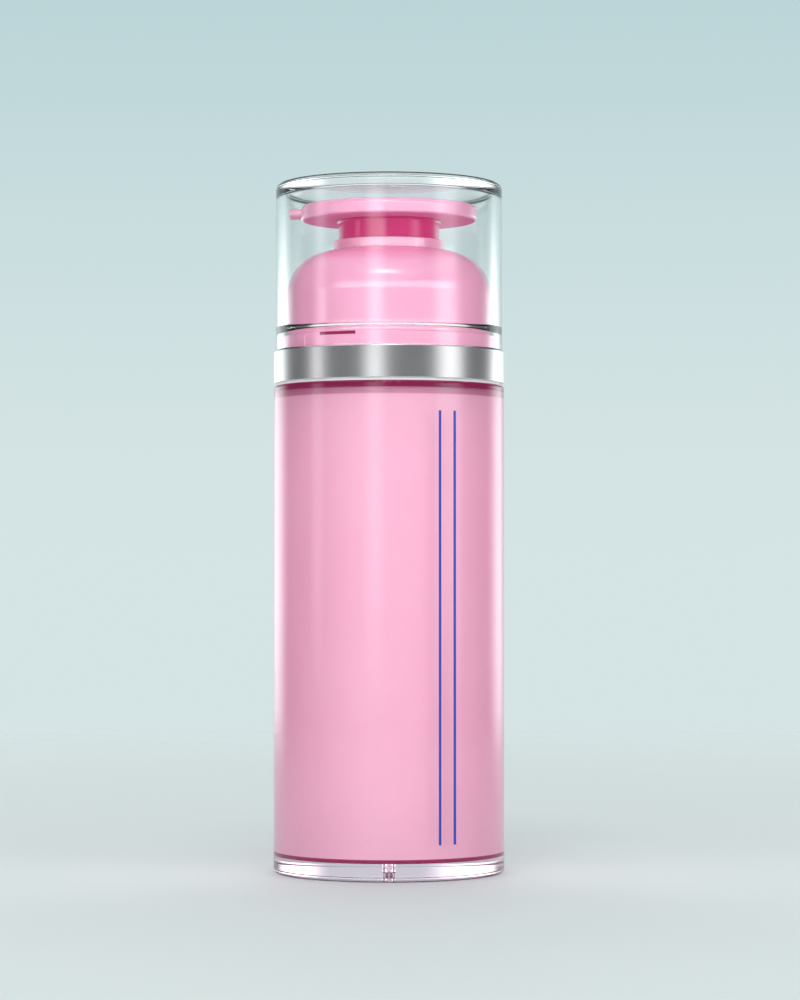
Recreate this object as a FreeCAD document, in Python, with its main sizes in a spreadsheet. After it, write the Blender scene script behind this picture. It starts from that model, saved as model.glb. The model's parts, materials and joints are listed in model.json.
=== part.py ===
import FreeCAD, Part
import math
import os

import Sketcher

# Airless pump bottle, in millimetres. The bottle stands on z = 0 around the Z axis.
# The front of the bottle faces -Y and the nozzle points to -X.

DRIVING_SIZES = [
    # Clear outer bottle
    ("bottle_radius", 24.0),
    ("bottle_wall", 3.25),
    ("bottle_height", 101.2),
    ("base_thickness", 3.6),
    ("foot_width", 4.5),
    ("foot_recess", 0.7),
    ("foot_round", 1.0),
    ("rim_round", 0.6),
    ("vent_radius", 0.9),
    # Pink inner bottle, called the liner
    ("liner_gap", 0.3),
    ("liner_wall", 1.25),
    ("flange_thickness", 1.2),
    ("flange_overhang", 1.5),
    ("land_height", 1.6),
    ("land_gap", 0.1),
    ("neck_wall", 1.5),
    ("liner_cone", 2.0),
    # Vented plug in the foot of the liner
    ("plug_flange", 0.8),
    ("plug_height", 2.6),
    ("plug_wall", 1.2),
    ("plug_vent_radius", 1.5),
    ("air_slot_width", 3.0),
    ("air_slot_depth", 0.4),
    ("air_slot_count", 4),
    # Follower piston
    ("follower_height", 12.0),
    ("follower_wall", 1.2),
    ("follower_relief", 0.7),
    ("follower_lip", 2.2),
    ("follower_rest_gap", 0.1),
    ("follower_rib_width", 1.0),
    ("follower_rib_count", 6),
    ("well_radius", 7.6),
    ("well_depth", 2.5),
    ("seal_gap", 0.1),
    # Collar ring and its metal band
    ("collar_height", 6.7),
    ("collar_wall", 1.2),
    ("collar_gap", 0.3),
    ("collar_rib_width", 1.0),
    ("collar_rib_count", 12),
    ("band_thickness", 0.45),
    ("band_lip", 1.5),
    ("band_fit", 0.05),
    ("band_lift", 0.4),
    ("band_round", 0.25),
    # Dome shoulder
    ("dome_side", 11.5),
    ("dome_wall", 1.4),
    ("seat_height", 3.4),
    ("seat_gap", 0.25),
    ("chimney_wall", 0.7),
    ("chimney_height", 2.25),
    ("chimney_depth", 3.4),
    ("chimney_round", 0.25),
    ("slot_height", 0.7),
    ("slot_depth", 0.6),
    ("slot_angle", 21.0),
    ("slot_direction", 242.0),
    ("grip_height", 2.0),
    ("grip_proud", 0.15),
    ("grip_width", 0.5),
    ("grip_direction", 220.4),
    ("grip_count", 3),
    # Screw closure, gasket and neck
    ("closure_wall", 3.0),
    ("closure_web", 1.6),
    ("closure_gap", 0.25),
    ("thread_gap", 0.2),
    ("gasket_thickness", 1.0),
    ("gasket_width", 2.4),
    ("key_proud", 0.15),
    ("key_width", 1.2),
    ("key_count", 18),
    # Overcap
    ("cap_inset", 0.4),
    ("cap_wall", 2.05),
    ("cap_rim", 1.15),
    ("cap_rim_height", 3.8),
    ("cap_top", 2.3),
    ("cap_headroom", 2.4),
    ("cap_round", 1.3),
    ("cap_inner_round", 0.8),
    ("cap_gap", 0.3),
    # Press head
    ("stroke", 3.8),
    ("press_gap", 0.4),
    ("button_gap", 3.15),
    ("button_thickness", 3.1),
    ("button_round", 1.1),
    ("button_under_round", 0.5),
    ("button_dish", 0.4),
    ("button_dish_margin", 2.2),
    ("boss_length", 4.6),
    ("boss_wall", 1.5),
    ("skirt_radius", 10.5),
    ("skirt_wall", 1.2),
    ("skirt_engagement", 5.0),
    ("skirt_spigot", 0.7),
    ("skirt_flare", 0.45),
    ("skirt_edge", 0.2),
    ("slide_gap", 0.3),
    ("fit_gap", 0.05),
    ("nozzle_radius", 1.1),
    ("nozzle_bore", 0.5),
    ("nozzle_rise", 1.5),
    ("nozzle_hold", 6.0),
    ("nozzle_gap", 0.35),
    ("nozzle_round", 0.45),
    # Pump
    ("chamber_radius", 5.6),
    ("chamber_wall", 1.2),
    ("housing_flange", 1.4),
    ("cup_wall", 1.2),
    ("cup_depth", 7.4),
    ("cup_gap", 0.2),
    ("gusset_width", 1.0),
    ("gusset_count", 6),
    ("tower_rise", 1.1),
    ("stem_radius", 3.0),
    ("stem_wall", 1.1),
    ("stem_gap", 0.1),
    ("stem_collar_width", 1.4),
    ("stem_collar_height", 1.2),
    ("stem_collar_gap", 0.1),
    ("stem_reach", 5.3),
    ("guide_wall", 1.2),
    ("guide_plate", 1.5),
    ("guide_skirt", 4.0),
    ("guide_boss_height", 1.0),
    ("core_hold", 4.5),
    ("core_neck", 1.5),
    ("core_head_radius", 3.4),
    ("core_head_edge", 0.7),
    ("core_slot_width", 1.0),
    ("core_slot_count", 3),
    ("float_travel", 0.6),
    ("float_gap", 0.2),
    ("valve_gap", 0.05),
    ("piston_bore_gap", 0.45),
    ("piston_hub_height", 2.2),
    ("piston_web", 1.0),
    ("piston_lip", 2.0),
    ("piston_ring_wall", 0.6),
    ("floor_gap", 0.4),
    ("inlet_radius", 1.4),
    ("inlet_length", 2.0),
    ("inlet_wall", 2.2),
    ("ball_radius", 2.2),
    ("ball_lift", 0.6),
    ("ball_gap", 0.3),
    ("ball_keeper", 0.5),
    # Return spring
    ("wire_radius", 0.4),
    ("coil_radius", 6.1),
    ("coil_turns", 6.0),
    ("coil_end_pitch", 1.3),
    ("coil_seat_gap", 0.05),
]

LEFT = 1
RIGHT = -1


class Size:
    """A length that carries the sheet formula it comes from, so a model can stay bound to it."""

    def __init__(self, value, formula):
        self.value = value
        self.formula = formula

    def __add__(self, other):
        other = as_size(other)
        return Size(self.value + other.value, f"({self.formula} + {other.formula})")

    def __sub__(self, other):
        other = as_size(other)
        return Size(self.value - other.value, f"({self.formula} - {other.formula})")

    def __mul__(self, other):
        other = as_size(other)
        return Size(self.value * other.value, f"({self.formula} * {other.formula})")

    def __truediv__(self, other):
        other = as_size(other)
        return Size(self.value / other.value, f"({self.formula} / {other.formula})")


class Arc:
    """The side of an outline between two corners, as an arc that turns left or right."""

    def __init__(self, radius, turn):
        self.radius = radius
        self.turn = turn


class SizeSheet:
    """The document's sheet, whose cells are read as attributes."""

    def __init__(self, document, rows):
        self.cells = document.addObject("Spreadsheet::Sheet", "sizes")
        for row, (alias, value) in enumerate(rows, start=1):
            self.cells.set(f"A{row}", alias)
            self.cells.set(f"B{row}", str(value))
            self.cells.setAlias(f"B{row}", alias)
        document.recompute()

    def __getattr__(self, alias):
        return Size(float(self.cells.get(alias)), f"sizes.{alias}")


def as_size(number):
    if isinstance(number, Size):
        return number
    return Size(float(number), str(float(number)))


doc = FreeCAD.newDocument("airless_pump_bottle")
s = SizeSheet(doc, DRIVING_SIZES)
zero = as_size(0.0)


def new_body(name):
    body = doc.addObject("PartDesign::Body", name)
    body.Label = name
    return body


def origin_part(body, role):
    return next(part for part in body.Origin.OriginFeatures if part.Role == role)


def new_sketch(body, name, role, lift=None, direction=None):
    """An empty sketch on an origin plane, raised along its own upright and turned about it."""
    sketch = body.newObject("Sketcher::SketchObject", name)
    sketch.AttachmentSupport = (origin_part(body, role), [""])
    sketch.MapMode = "FlatFace"
    if direction is not None:
        upright = FreeCAD.Vector(0, 1, 0)
        turn = FreeCAD.Rotation(upright, direction.value)
        sketch.AttachmentOffset = FreeCAD.Placement(FreeCAD.Vector(), turn)
        sketch.setExpression(".AttachmentOffset.Rotation.Angle", direction.formula)
    if lift is not None:
        sketch.AttachmentOffset = FreeCAD.Placement(FreeCAD.Vector(0, lift.value, 0), FreeCAD.Rotation())
        sketch.setExpression(".AttachmentOffset.Base.y", lift.formula)
    return sketch


def arc_geometry(start, end, arc):
    chord = end - start
    half = chord.Length / 2
    left = FreeCAD.Vector(-chord.y, chord.x, 0).normalize()
    offset = math.sqrt(max(arc.radius.value ** 2 - half ** 2, 0.0))
    centre = (start + end) / 2 + left * (offset * arc.turn)
    first, last = (start, end) if arc.turn == LEFT else (end, start)
    angle_first = math.atan2(first.y - centre.y, first.x - centre.x)
    angle_last = math.atan2(last.y - centre.y, last.x - centre.x)
    if angle_last < angle_first:
        angle_last += 2 * math.pi
    circle = Part.Circle(centre, FreeCAD.Vector(0, 0, 1), arc.radius.value)
    return Part.ArcOfCircle(circle, angle_first, angle_last)


def draw_outline(sketch, outline):
    """Draws a closed outline of (across, up) corners, with an Arc between two corners where one is curved."""
    corners = [item for item in outline if not isinstance(item, Arc)]
    arcs = {}
    for place, item in enumerate(outline):
        if isinstance(item, Arc):
            side = sum(1 for earlier in outline[:place] if not isinstance(earlier, Arc)) - 1
            arcs[side] = item
    points = [FreeCAD.Vector(across.value, up.value, 0) for across, up in corners]
    sides = []
    ends = []
    for side, start in enumerate(points):
        end = points[(side + 1) % len(points)]
        arc = arcs.get(side)
        sides.append(Part.LineSegment(start, end) if arc is None else arc_geometry(start, end, arc))
        ends.append((1, 2) if arc is None or arc.turn == LEFT else (2, 1))
    sketch.addGeometry(sides, False)
    constraints = []
    formulas = {}
    for side, (across, up) in enumerate(corners):
        following = (side + 1) % len(corners)
        constraints.append(Sketcher.Constraint("Coincident", side, ends[side][1], following, ends[following][0]))
        for kind, axis, size in (("DistanceX", -2, across), ("DistanceY", -1, up)):
            if size.value == 0.0:
                constraints.append(Sketcher.Constraint("PointOnObject", side, ends[side][0], axis))
                continue
            formulas[len(constraints)] = size.formula
            constraints.append(Sketcher.Constraint(kind, -1, 1, side, ends[side][0], size.value))
        if side in arcs:
            formulas[len(constraints)] = arcs[side].radius.formula
            constraints.append(Sketcher.Constraint("Radius", side, arcs[side].radius.value))
    sketch.addConstraint(constraints)
    for index, formula in formulas.items():
        sketch.setExpression(f"Constraints[{index}]", formula)


def rectangle(across_low, across_high, up_low, up_high):
    return [(across_low, up_low), (across_high, up_low), (across_high, up_high), (across_low, up_high)]


def turned(name, outline):
    """A body of revolution about Z from its half section."""
    body = new_body(name)
    sketch = new_sketch(body, f"{name}_section", "XZ_Plane")
    draw_outline(sketch, outline)
    solid = body.newObject("PartDesign::Revolution", f"{name}_turned")
    solid.Profile = sketch
    solid.ReferenceAxis = (sketch, ["V_Axis"])
    solid.Angle = 360
    doc.recompute()
    return body


def ring_edges(shape, across, up):
    """Names of the circular edges about Z with this radius at this height."""
    names = []
    for index, edge in enumerate(shape.Edges, start=1):
        if edge.Degenerated or not isinstance(edge.Curve, Part.Circle):
            continue
        curve = edge.Curve
        on_axis = math.hypot(curve.Center.x, curve.Center.y) < 1e-4
        same_place = abs(curve.Radius - across.value) < 1e-4 and abs(curve.Center.z - up.value) < 1e-4
        if on_axis and same_place:
            names.append(f"Edge{index}")
    if not names:
        raise ValueError(f"no edge at radius {across.value} and height {up.value}")
    return names


def rounded(body, radius, *rings):
    tip = body.Tip
    names = [name for across, up in rings for name in ring_edges(tip.Shape, across, up)]
    fillet = body.newObject("PartDesign::Fillet", f"{body.Name}_round")
    fillet.Base = (tip, names)
    fillet.Radius = radius.value
    fillet.setExpression("Radius", radius.formula)
    doc.recompute()


def checked(body, feature, before, grows):
    """Sees that a feature added or removed material."""
    doc.recompute()
    change = feature.Shape.Volume - before
    if (change > 0) != grows or abs(change) < 1e-3:
        raise ValueError(f"{feature.Name} changes nothing: {change:.4f}")
    body.Tip = feature


def rib(body, name, outline, width):
    """An upright rib, drawn in the XZ plane and padded to both sides."""
    before = body.Tip.Shape.Volume
    sketch = new_sketch(body, f"{name}_section", "XZ_Plane")
    draw_outline(sketch, outline)
    pad = body.newObject("PartDesign::Pad", name)
    pad.Profile = sketch
    pad.Midplane = True
    pad.setExpression("Length", width.formula)
    checked(body, pad, before, grows=True)
    return pad


def slot(body, name, outline, width):
    """A slot, drawn in the XZ plane and cut to both sides."""
    before = body.Tip.Shape.Volume
    sketch = new_sketch(body, f"{name}_section", "XZ_Plane")
    draw_outline(sketch, outline)
    pocket = body.newObject("PartDesign::Pocket", name)
    pocket.Profile = sketch
    pocket.Midplane = True
    pocket.setExpression("Length", width.formula)
    checked(body, pocket, before, grows=False)
    return pocket


def around(body, feature, count):
    """Repeats a feature about Z."""
    before = body.Tip.Shape.Volume
    grows = "Pocket" not in feature.TypeId
    pattern = body.newObject("PartDesign::PolarPattern", f"{feature.Name}_around")
    pattern.Originals = [feature]
    pattern.Axis = (origin_part(body, "Z_Axis"), [""])
    pattern.Angle = 360
    pattern.setExpression("Occurrences", count.formula)
    checked(body, pattern, before, grows)


def drilled_up(body, name, radius, depth):
    """A round hole on the Z axis, from the floor plane upwards."""
    before = body.Tip.Shape.Volume
    sketch = new_sketch(body, f"{name}_section", "XY_Plane")
    sketch.addGeometry(Part.Circle(FreeCAD.Vector(), FreeCAD.Vector(0, 0, 1), radius.value), False)
    sketch.addConstraint(Sketcher.Constraint("Coincident", 0, 3, -1, 1))
    sketch.addConstraint(Sketcher.Constraint("Radius", 0, radius.value))
    sketch.setExpression("Constraints[1]", radius.formula)
    hole = body.newObject("PartDesign::Pocket", name)
    hole.Profile = sketch
    hole.Reversed = True
    hole.setExpression("Length", depth.formula)
    checked(body, hole, before, grows=False)


# Radii that pieces share, from the outside in
bottle_bore = s.bottle_radius - s.bottle_wall
liner_outer = bottle_bore - s.liner_gap
liner_bore = liner_outer - s.liner_wall
flange_outer = bottle_bore + s.flange_overhang
cap_outer = s.bottle_radius - s.cap_inset
cap_bore = cap_outer - s.cap_wall
cap_rim_bore = cap_outer - s.cap_rim
seat_outer = cap_rim_bore - s.seat_gap
button_radius = cap_bore - s.button_gap
dome_outer = cap_bore - s.cap_gap
dome_bore = dome_outer - s.dome_wall
collar_outer = s.bottle_radius - s.band_thickness - s.band_fit
closure_outer = dome_bore - s.closure_gap
closure_bore = closure_outer - s.closure_wall
neck_outer = closure_bore - s.thread_gap
neck_bore = neck_outer - s.neck_wall
chimney_bore = s.skirt_radius + s.slide_gap
chimney_outer = chimney_bore + s.chimney_wall
dome_curve = dome_outer - chimney_outer
stem_bore = s.stem_radius - s.stem_wall
socket_bore = s.stem_radius + s.fit_gap
boss_outer = socket_bore + s.boss_wall
tower_outer = s.chamber_radius + s.chamber_wall
guide_bore = tower_outer + s.fit_gap
guide_outer = guide_bore + s.guide_wall
coil_inner = s.coil_radius - s.wire_radius

# Levels that pieces share, from the floor up
liner_foot = s.base_thickness + s.plug_flange
plug_crown = liner_foot + s.plug_height
flange_under = s.bottle_height - s.flange_thickness
collar_crown = s.bottle_height + s.collar_height
band_crown = collar_crown + s.band_thickness
seat_crown = collar_crown + s.seat_height
dome_spring = collar_crown + s.dome_side
dome_crown = dome_spring + dome_curve
chimney_crown = dome_crown + s.chimney_height
button_under = chimney_crown + s.stroke + s.press_gap
button_crown = button_under + s.button_thickness
cap_ceiling = button_crown + s.cap_headroom
cap_crown = cap_ceiling + s.cap_top
closure_under = dome_spring - s.closure_web
gasket_crown = closure_under - s.housing_flange
neck_crown = gasket_crown - s.gasket_thickness
tower_crown = closure_under + s.tower_rise
guide_crown = tower_crown + s.guide_plate
nozzle_level = button_under + s.nozzle_rise
stem_crown = nozzle_level - s.nozzle_radius
stem_collar_crown = tower_crown - s.stem_collar_gap
stem_foot = stem_collar_crown - s.stem_collar_height - s.stem_reach
hub_crown = stem_foot - s.float_travel - s.float_gap
hub_foot = hub_crown - s.piston_hub_height
web_crown = hub_crown - (s.piston_hub_height - s.piston_web) / 2
web_foot = web_crown - s.piston_web
# The core's cone rises one in two and passes a valve gap below the piston's bore.
piston_bore = s.core_neck + s.piston_bore_gap
cone_foot = hub_foot - s.valve_gap - (s.core_head_radius - piston_bore) / 2
cone_crown = hub_foot - s.valve_gap + s.piston_bore_gap / 2
core_foot = cone_foot - s.core_head_edge
chamber_floor = core_foot - s.stroke - s.floor_gap
ball_ceiling = chamber_floor - s.ball_keeper
ball_level = ball_ceiling - s.ball_gap - s.ball_lift - s.ball_radius
# The ball lies a valve gap off a seat that opens at 45 degrees.
seat_drop = (s.ball_radius + s.valve_gap) * math.sqrt(2.0) - s.inlet_radius
ball_seat = ball_level - seat_drop
inlet_foot = ball_seat - s.inlet_length


def make_outer_bottle():
    rabbet = flange_outer + s.fit_gap
    foot_inner = s.bottle_radius - s.foot_width
    body = turned("outer_bottle", [
        (zero, s.foot_recess),
        (foot_inner - s.foot_recess, s.foot_recess),
        (foot_inner, zero),
        (s.bottle_radius, zero),
        (s.bottle_radius, s.bottle_height),
        (rabbet, s.bottle_height),
        (rabbet, flange_under),
        (bottle_bore, flange_under),
        (bottle_bore, s.base_thickness),
        (zero, s.base_thickness),
    ])
    drilled_up(body, "outer_vent", s.vent_radius, s.base_thickness)
    rounded(body, s.foot_round, (s.bottle_radius, zero))
    rounded(body, s.rim_round, (s.bottle_radius, s.bottle_height))
    return body


def make_inner_bottle():
    land_outer = bottle_bore - s.land_gap
    roof = flange_under + s.flange_thickness / 2
    return turned("inner_bottle", [
        (liner_bore, liner_foot),
        (land_outer, liner_foot),
        (land_outer, liner_foot + s.land_height),
        (liner_outer, liner_foot + s.land_height + s.land_gap * 2.0),
        (liner_outer, flange_under - s.land_height - s.land_gap * 2.0),
        (land_outer, flange_under - s.land_height),
        (land_outer, flange_under),
        (flange_outer, flange_under),
        (flange_outer, s.bottle_height),
        (neck_outer, s.bottle_height),
        (neck_outer, neck_crown),
        (neck_bore, neck_crown),
        (neck_bore, roof),
        (liner_bore, roof - s.liner_cone),
    ])


def make_inner_base():
    spigot = liner_bore - s.fit_gap
    body = turned("inner_base", [
        (s.plug_vent_radius, s.base_thickness + s.air_slot_depth),
        (spigot - s.plug_wall * 2.0, s.base_thickness + s.air_slot_depth),
        (spigot - s.plug_wall * 2.0, s.base_thickness),
        (liner_outer, s.base_thickness),
        (liner_outer, liner_foot),
        (spigot, liner_foot),
        (spigot, plug_crown),
        (spigot - s.plug_wall, plug_crown),
        (spigot - s.plug_wall, liner_foot + s.plug_wall),
        (s.plug_vent_radius, liner_foot + s.plug_wall),
    ])
    air = slot(body, "air_slot", rectangle(
        spigot - s.plug_wall * 3.0, liner_outer + s.plug_wall,
        s.base_thickness - s.air_slot_depth, s.base_thickness + s.air_slot_depth,
    ), s.air_slot_width)
    around(body, air, s.air_slot_count)
    return body


def make_follower_piston():
    lip_outer = liner_bore - s.seal_gap
    waist_outer = lip_outer - s.follower_relief
    waist_bore = waist_outer - s.follower_wall
    foot = plug_crown + s.follower_rest_gap
    crown = foot + s.follower_height
    well_floor = crown - s.well_depth
    body = turned("follower_piston", [
        (zero, well_floor - s.follower_wall),
        (s.well_radius + s.follower_wall, well_floor - s.follower_wall),
        (s.well_radius + s.follower_wall, crown - s.follower_wall),
        (waist_bore, crown - s.follower_wall),
        (waist_bore, foot),
        (lip_outer, foot),
        (lip_outer, foot + s.follower_lip / 2),
        (waist_outer, foot + s.follower_lip),
        (waist_outer, crown - s.follower_lip),
        (lip_outer, crown - s.follower_lip / 2),
        (lip_outer, crown),
        (waist_bore, crown),
        (s.well_radius, crown),
        (s.well_radius, well_floor),
        (zero, well_floor),
    ])
    web = rib(body, "follower_rib", rectangle(
        s.well_radius + s.follower_wall / 2, waist_bore + s.follower_wall / 2,
        well_floor - s.follower_wall, crown - s.follower_wall / 2,
    ), s.follower_rib_width)
    around(body, web, s.follower_rib_count)
    return body


def make_collar_ring():
    inner = neck_outer + s.collar_gap
    body = turned("collar_ring", [
        (inner, s.bottle_height),
        (inner + s.collar_wall, s.bottle_height),
        (inner + s.collar_wall, collar_crown - s.collar_wall),
        (collar_outer - s.collar_wall, collar_crown - s.collar_wall),
        (collar_outer - s.collar_wall, s.bottle_height),
        (collar_outer, s.bottle_height),
        (collar_outer, collar_crown),
        (inner, collar_crown),
    ])
    web = rib(body, "collar_rib", rectangle(
        inner + s.collar_wall / 2, collar_outer - s.collar_wall / 2,
        s.bottle_height + s.collar_wall, collar_crown - s.collar_wall / 2,
    ), s.collar_rib_width)
    around(body, web, s.collar_rib_count)
    return body


def make_collar_band():
    band_bore = s.bottle_radius - s.band_thickness
    lip_inner = s.bottle_radius - s.band_lip
    foot = s.bottle_height + s.band_lift
    body = turned("collar_band", [
        (band_bore, foot),
        (s.bottle_radius, foot),
        (s.bottle_radius, band_crown),
        (lip_inner, band_crown),
        (lip_inner, collar_crown),
        (band_bore, collar_crown),
    ])
    rounded(body, s.band_round, (s.bottle_radius, foot), (s.bottle_radius, band_crown))
    return body


def make_dome_shoulder():
    guide_foot = dome_crown - s.dome_wall - s.chimney_depth
    inner_curve = dome_curve - s.dome_wall
    under_crown = dome_crown - s.dome_wall
    body = turned("dome_shoulder", [
        (dome_bore, collar_crown),
        (seat_outer, collar_crown),
        (seat_outer, seat_crown),
        (dome_outer, seat_crown),
        (dome_outer, dome_spring),
        Arc(dome_curve, LEFT),
        (chimney_outer, dome_crown),
        (chimney_outer, chimney_crown),
        (chimney_bore, chimney_crown),
        (chimney_bore, guide_foot),
        (chimney_outer, guide_foot),
        (chimney_outer, under_crown),
        Arc(inner_curve, RIGHT),
        (dome_bore, dome_spring),
    ])
    rounded(body, s.chimney_round, (chimney_outer, chimney_crown))
    cut_seat_slot(body)
    add_cap_grips(body)
    return body


def cut_seat_slot(body):
    """A short slot in the top of the seat ring, at the front left."""
    before = body.Tip.Shape.Volume
    sketch = new_sketch(body, "seat_slot_section", "XZ_Plane", direction=s.slot_direction)
    draw_outline(sketch, rectangle(
        seat_outer - s.slot_depth, seat_outer + s.slot_depth,
        seat_crown - s.slot_height, seat_crown + s.slot_height,
    ))
    cut = body.newObject("PartDesign::Groove", "seat_slot")
    cut.Profile = sketch
    cut.ReferenceAxis = (sketch, ["V_Axis"])
    cut.Midplane = True
    cut.setExpression("Angle", s.slot_angle.formula)
    checked(body, cut, before, grows=False)


def add_cap_grips(body):
    """Low upright ridges on the seat ring that hold the overcap."""
    before = body.Tip.Shape.Volume
    middle = collar_crown + s.seat_height / 2
    sketch = new_sketch(body, "cap_grip_section", "XZ_Plane", direction=s.grip_direction)
    draw_outline(sketch, rectangle(
        seat_outer - s.slot_depth, seat_outer + s.grip_proud,
        middle - s.grip_height / 2, middle + s.grip_height / 2,
    ))
    grip = body.newObject("PartDesign::Pad", "cap_grip")
    grip.Profile = sketch
    grip.Midplane = True
    grip.setExpression("Length", s.grip_width.formula)
    checked(body, grip, before, grows=True)
    around(body, grip, s.grip_count)


def make_screw_closure():
    hole = guide_outer + s.slide_gap
    body = turned("screw_closure", [
        (closure_bore, collar_crown),
        (closure_outer - s.key_proud, collar_crown),
        (closure_outer - s.key_proud, dome_spring),
        (hole, dome_spring),
        (hole, closure_under),
        (closure_bore, closure_under),
    ])
    key = rib(body, "closure_key", rectangle(
        closure_outer - s.closure_wall / 2, closure_outer,
        collar_crown, dome_spring - s.closure_web,
    ), s.key_width)
    around(body, key, s.key_count)
    return body


def make_neck_gasket():
    return turned("neck_gasket", rectangle(neck_outer - s.gasket_width, neck_outer, neck_crown, gasket_crown))


def make_pump_housing():
    cup_outer = neck_outer - s.gasket_width - s.cup_gap
    cup_bore = cup_outer - s.cup_wall
    cup_foot = closure_under - s.cup_depth
    pocket_bore = s.ball_radius + s.ball_gap
    pocket_outer = s.inlet_radius + s.inlet_wall
    keeper_bore = s.ball_radius - s.ball_gap
    body = turned("pump_housing", [
        (s.inlet_radius, inlet_foot),
        (pocket_outer, inlet_foot),
        (pocket_outer, ball_seat),
        (tower_outer, ball_seat + (tower_outer - pocket_outer)),
        (tower_outer, cup_foot),
        (cup_outer, cup_foot),
        (cup_outer, gasket_crown),
        (neck_outer, gasket_crown),
        (neck_outer, closure_under),
        (cup_bore, closure_under),
        (cup_bore, cup_foot + s.cup_wall),
        (tower_outer, cup_foot + s.cup_wall),
        (tower_outer, tower_crown),
        (s.chamber_radius, tower_crown),
        (s.chamber_radius, chamber_floor),
        (keeper_bore, chamber_floor),
        (keeper_bore, ball_ceiling),
        (pocket_bore, ball_ceiling),
        (pocket_bore, ball_seat + (pocket_bore - s.inlet_radius)),
        (s.inlet_radius, ball_seat),
    ])
    gusset_crown = tower_crown - s.guide_skirt - s.slide_gap
    gusset = rib(body, "housing_gusset", rectangle(
        tower_outer - s.chamber_wall / 2, cup_bore + s.cup_wall / 2,
        cup_foot + s.cup_wall / 2, gusset_crown,
    ), s.gusset_width)
    around(body, gusset, s.gusset_count)
    return body


def make_stem_guide():
    bore = s.stem_radius + s.stem_gap
    boss = coil_inner - s.slide_gap
    return turned("stem_guide", [
        (guide_bore, tower_crown - s.guide_skirt),
        (guide_outer, tower_crown - s.guide_skirt),
        (guide_outer, guide_crown),
        (boss, guide_crown),
        (boss, guide_crown + s.guide_boss_height),
        (bore, guide_crown + s.guide_boss_height),
        (bore, tower_crown),
        (guide_bore, tower_crown),
    ])


def make_pump_stem():
    collar_outer_radius = s.stem_radius + s.stem_collar_width
    return turned("pump_stem", [
        (stem_bore, stem_foot),
        (s.stem_radius, stem_foot),
        (s.stem_radius, stem_collar_crown - s.stem_collar_height),
        (collar_outer_radius, stem_collar_crown - s.stem_collar_height),
        (collar_outer_radius, stem_collar_crown),
        (s.stem_radius, stem_collar_crown),
        (s.stem_radius, stem_crown),
        (stem_bore, stem_crown),
    ])


def make_piston_core():
    shank = stem_bore - s.fit_gap
    body = turned("piston_core", [
        (zero, core_foot),
        (s.core_head_radius, core_foot),
        (s.core_head_radius, cone_foot),
        (s.core_neck, cone_crown),
        (s.core_neck, stem_foot),
        (shank, stem_foot),
        (shank, stem_foot + s.core_hold),
        (zero, stem_foot + s.core_hold),
    ])
    channel = slot(body, "core_slot", rectangle(
        s.core_neck - s.piston_bore_gap, shank + s.core_slot_width,
        stem_foot - s.float_gap, stem_foot + s.core_hold + s.float_gap,
    ), s.core_slot_width)
    around(body, channel, s.core_slot_count)
    return body


def make_pump_piston():
    hub_outer = s.core_head_radius
    lip_outer = s.chamber_radius - s.seal_gap
    ring_bore = lip_outer - s.piston_ring_wall
    waist = lip_outer - s.piston_ring_wall / 3
    ring_crown = web_crown + s.piston_lip
    return turned("pump_piston", [
        (piston_bore, hub_foot),
        (hub_outer, hub_foot),
        (hub_outer, web_foot),
        (ring_bore, web_foot),
        (ring_bore, core_foot),
        (lip_outer, core_foot),
        (lip_outer, core_foot + s.piston_lip / 2),
        (waist, web_foot),
        (waist, web_crown),
        (lip_outer, ring_crown - s.piston_lip / 2),
        (lip_outer, ring_crown),
        (ring_bore, ring_crown),
        (ring_bore, web_crown),
        (hub_outer, web_crown),
        (hub_outer, hub_crown),
        (piston_bore, hub_crown),
    ])


def make_inlet_ball():
    ball = doc.addObject("Part::Sphere", "inlet_ball")
    ball.Label = "inlet_ball"
    ball.setExpression("Radius", s.ball_radius.formula)
    ball.setExpression("Placement.Base.z", ball_level.formula)
    doc.recompute()
    return ball


def make_actuator_button():
    dish_outer = button_radius - s.button_dish_margin
    # A shallow dish of this depth and half width is part of a sphere of this radius.
    dish_radius = (dish_outer * dish_outer + s.button_dish * s.button_dish) / (s.button_dish * 2.0)
    groove_inner = s.skirt_radius - s.skirt_wall - s.fit_gap
    groove_outer = s.skirt_radius - s.skirt_wall / 2 + s.fit_gap
    groove_crown = button_under + s.skirt_spigot + s.fit_gap
    well_crown = nozzle_level + s.nozzle_bore
    body = turned("actuator_button", [
        (zero, well_crown),
        (stem_bore, well_crown),
        (stem_bore, stem_crown + s.fit_gap),
        (socket_bore, stem_crown + s.fit_gap),
        (socket_bore, button_under - s.boss_length),
        (boss_outer, button_under - s.boss_length),
        (boss_outer, button_under),
        (groove_inner, button_under),
        (groove_inner, groove_crown),
        (groove_outer, groove_crown),
        (groove_outer, button_under),
        (button_radius, button_under),
        (button_radius, button_crown),
        (dish_outer, button_crown),
        Arc(dish_radius, RIGHT),
        (zero, button_crown - s.button_dish),
    ])
    rounded(body, s.button_round, (button_radius, button_crown))
    rounded(body, s.button_under_round, (button_radius, button_under))
    cut_outlet(body, "outlet_channel", s.nozzle_bore, button_radius)
    cut_outlet(body, "nozzle_hole", s.nozzle_radius + s.fit_gap, button_radius,
               button_radius - s.nozzle_hold)
    return body


def cut_outlet(body, name, radius, reach, start=zero):
    """A round passage towards the nozzle side, turned about its own level axis."""
    before = body.Tip.Shape.Volume
    sketch = new_sketch(body, f"{name}_section", "XZ_Plane", lift=nozzle_level)
    far = zero - reach - s.nozzle_hold
    draw_outline(sketch, rectangle(far, zero - start, zero, radius))
    passage = body.newObject("PartDesign::Groove", name)
    passage.Profile = sketch
    passage.ReferenceAxis = (sketch, ["H_Axis"])
    passage.Angle = 360
    checked(body, passage, before, grows=False)


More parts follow.
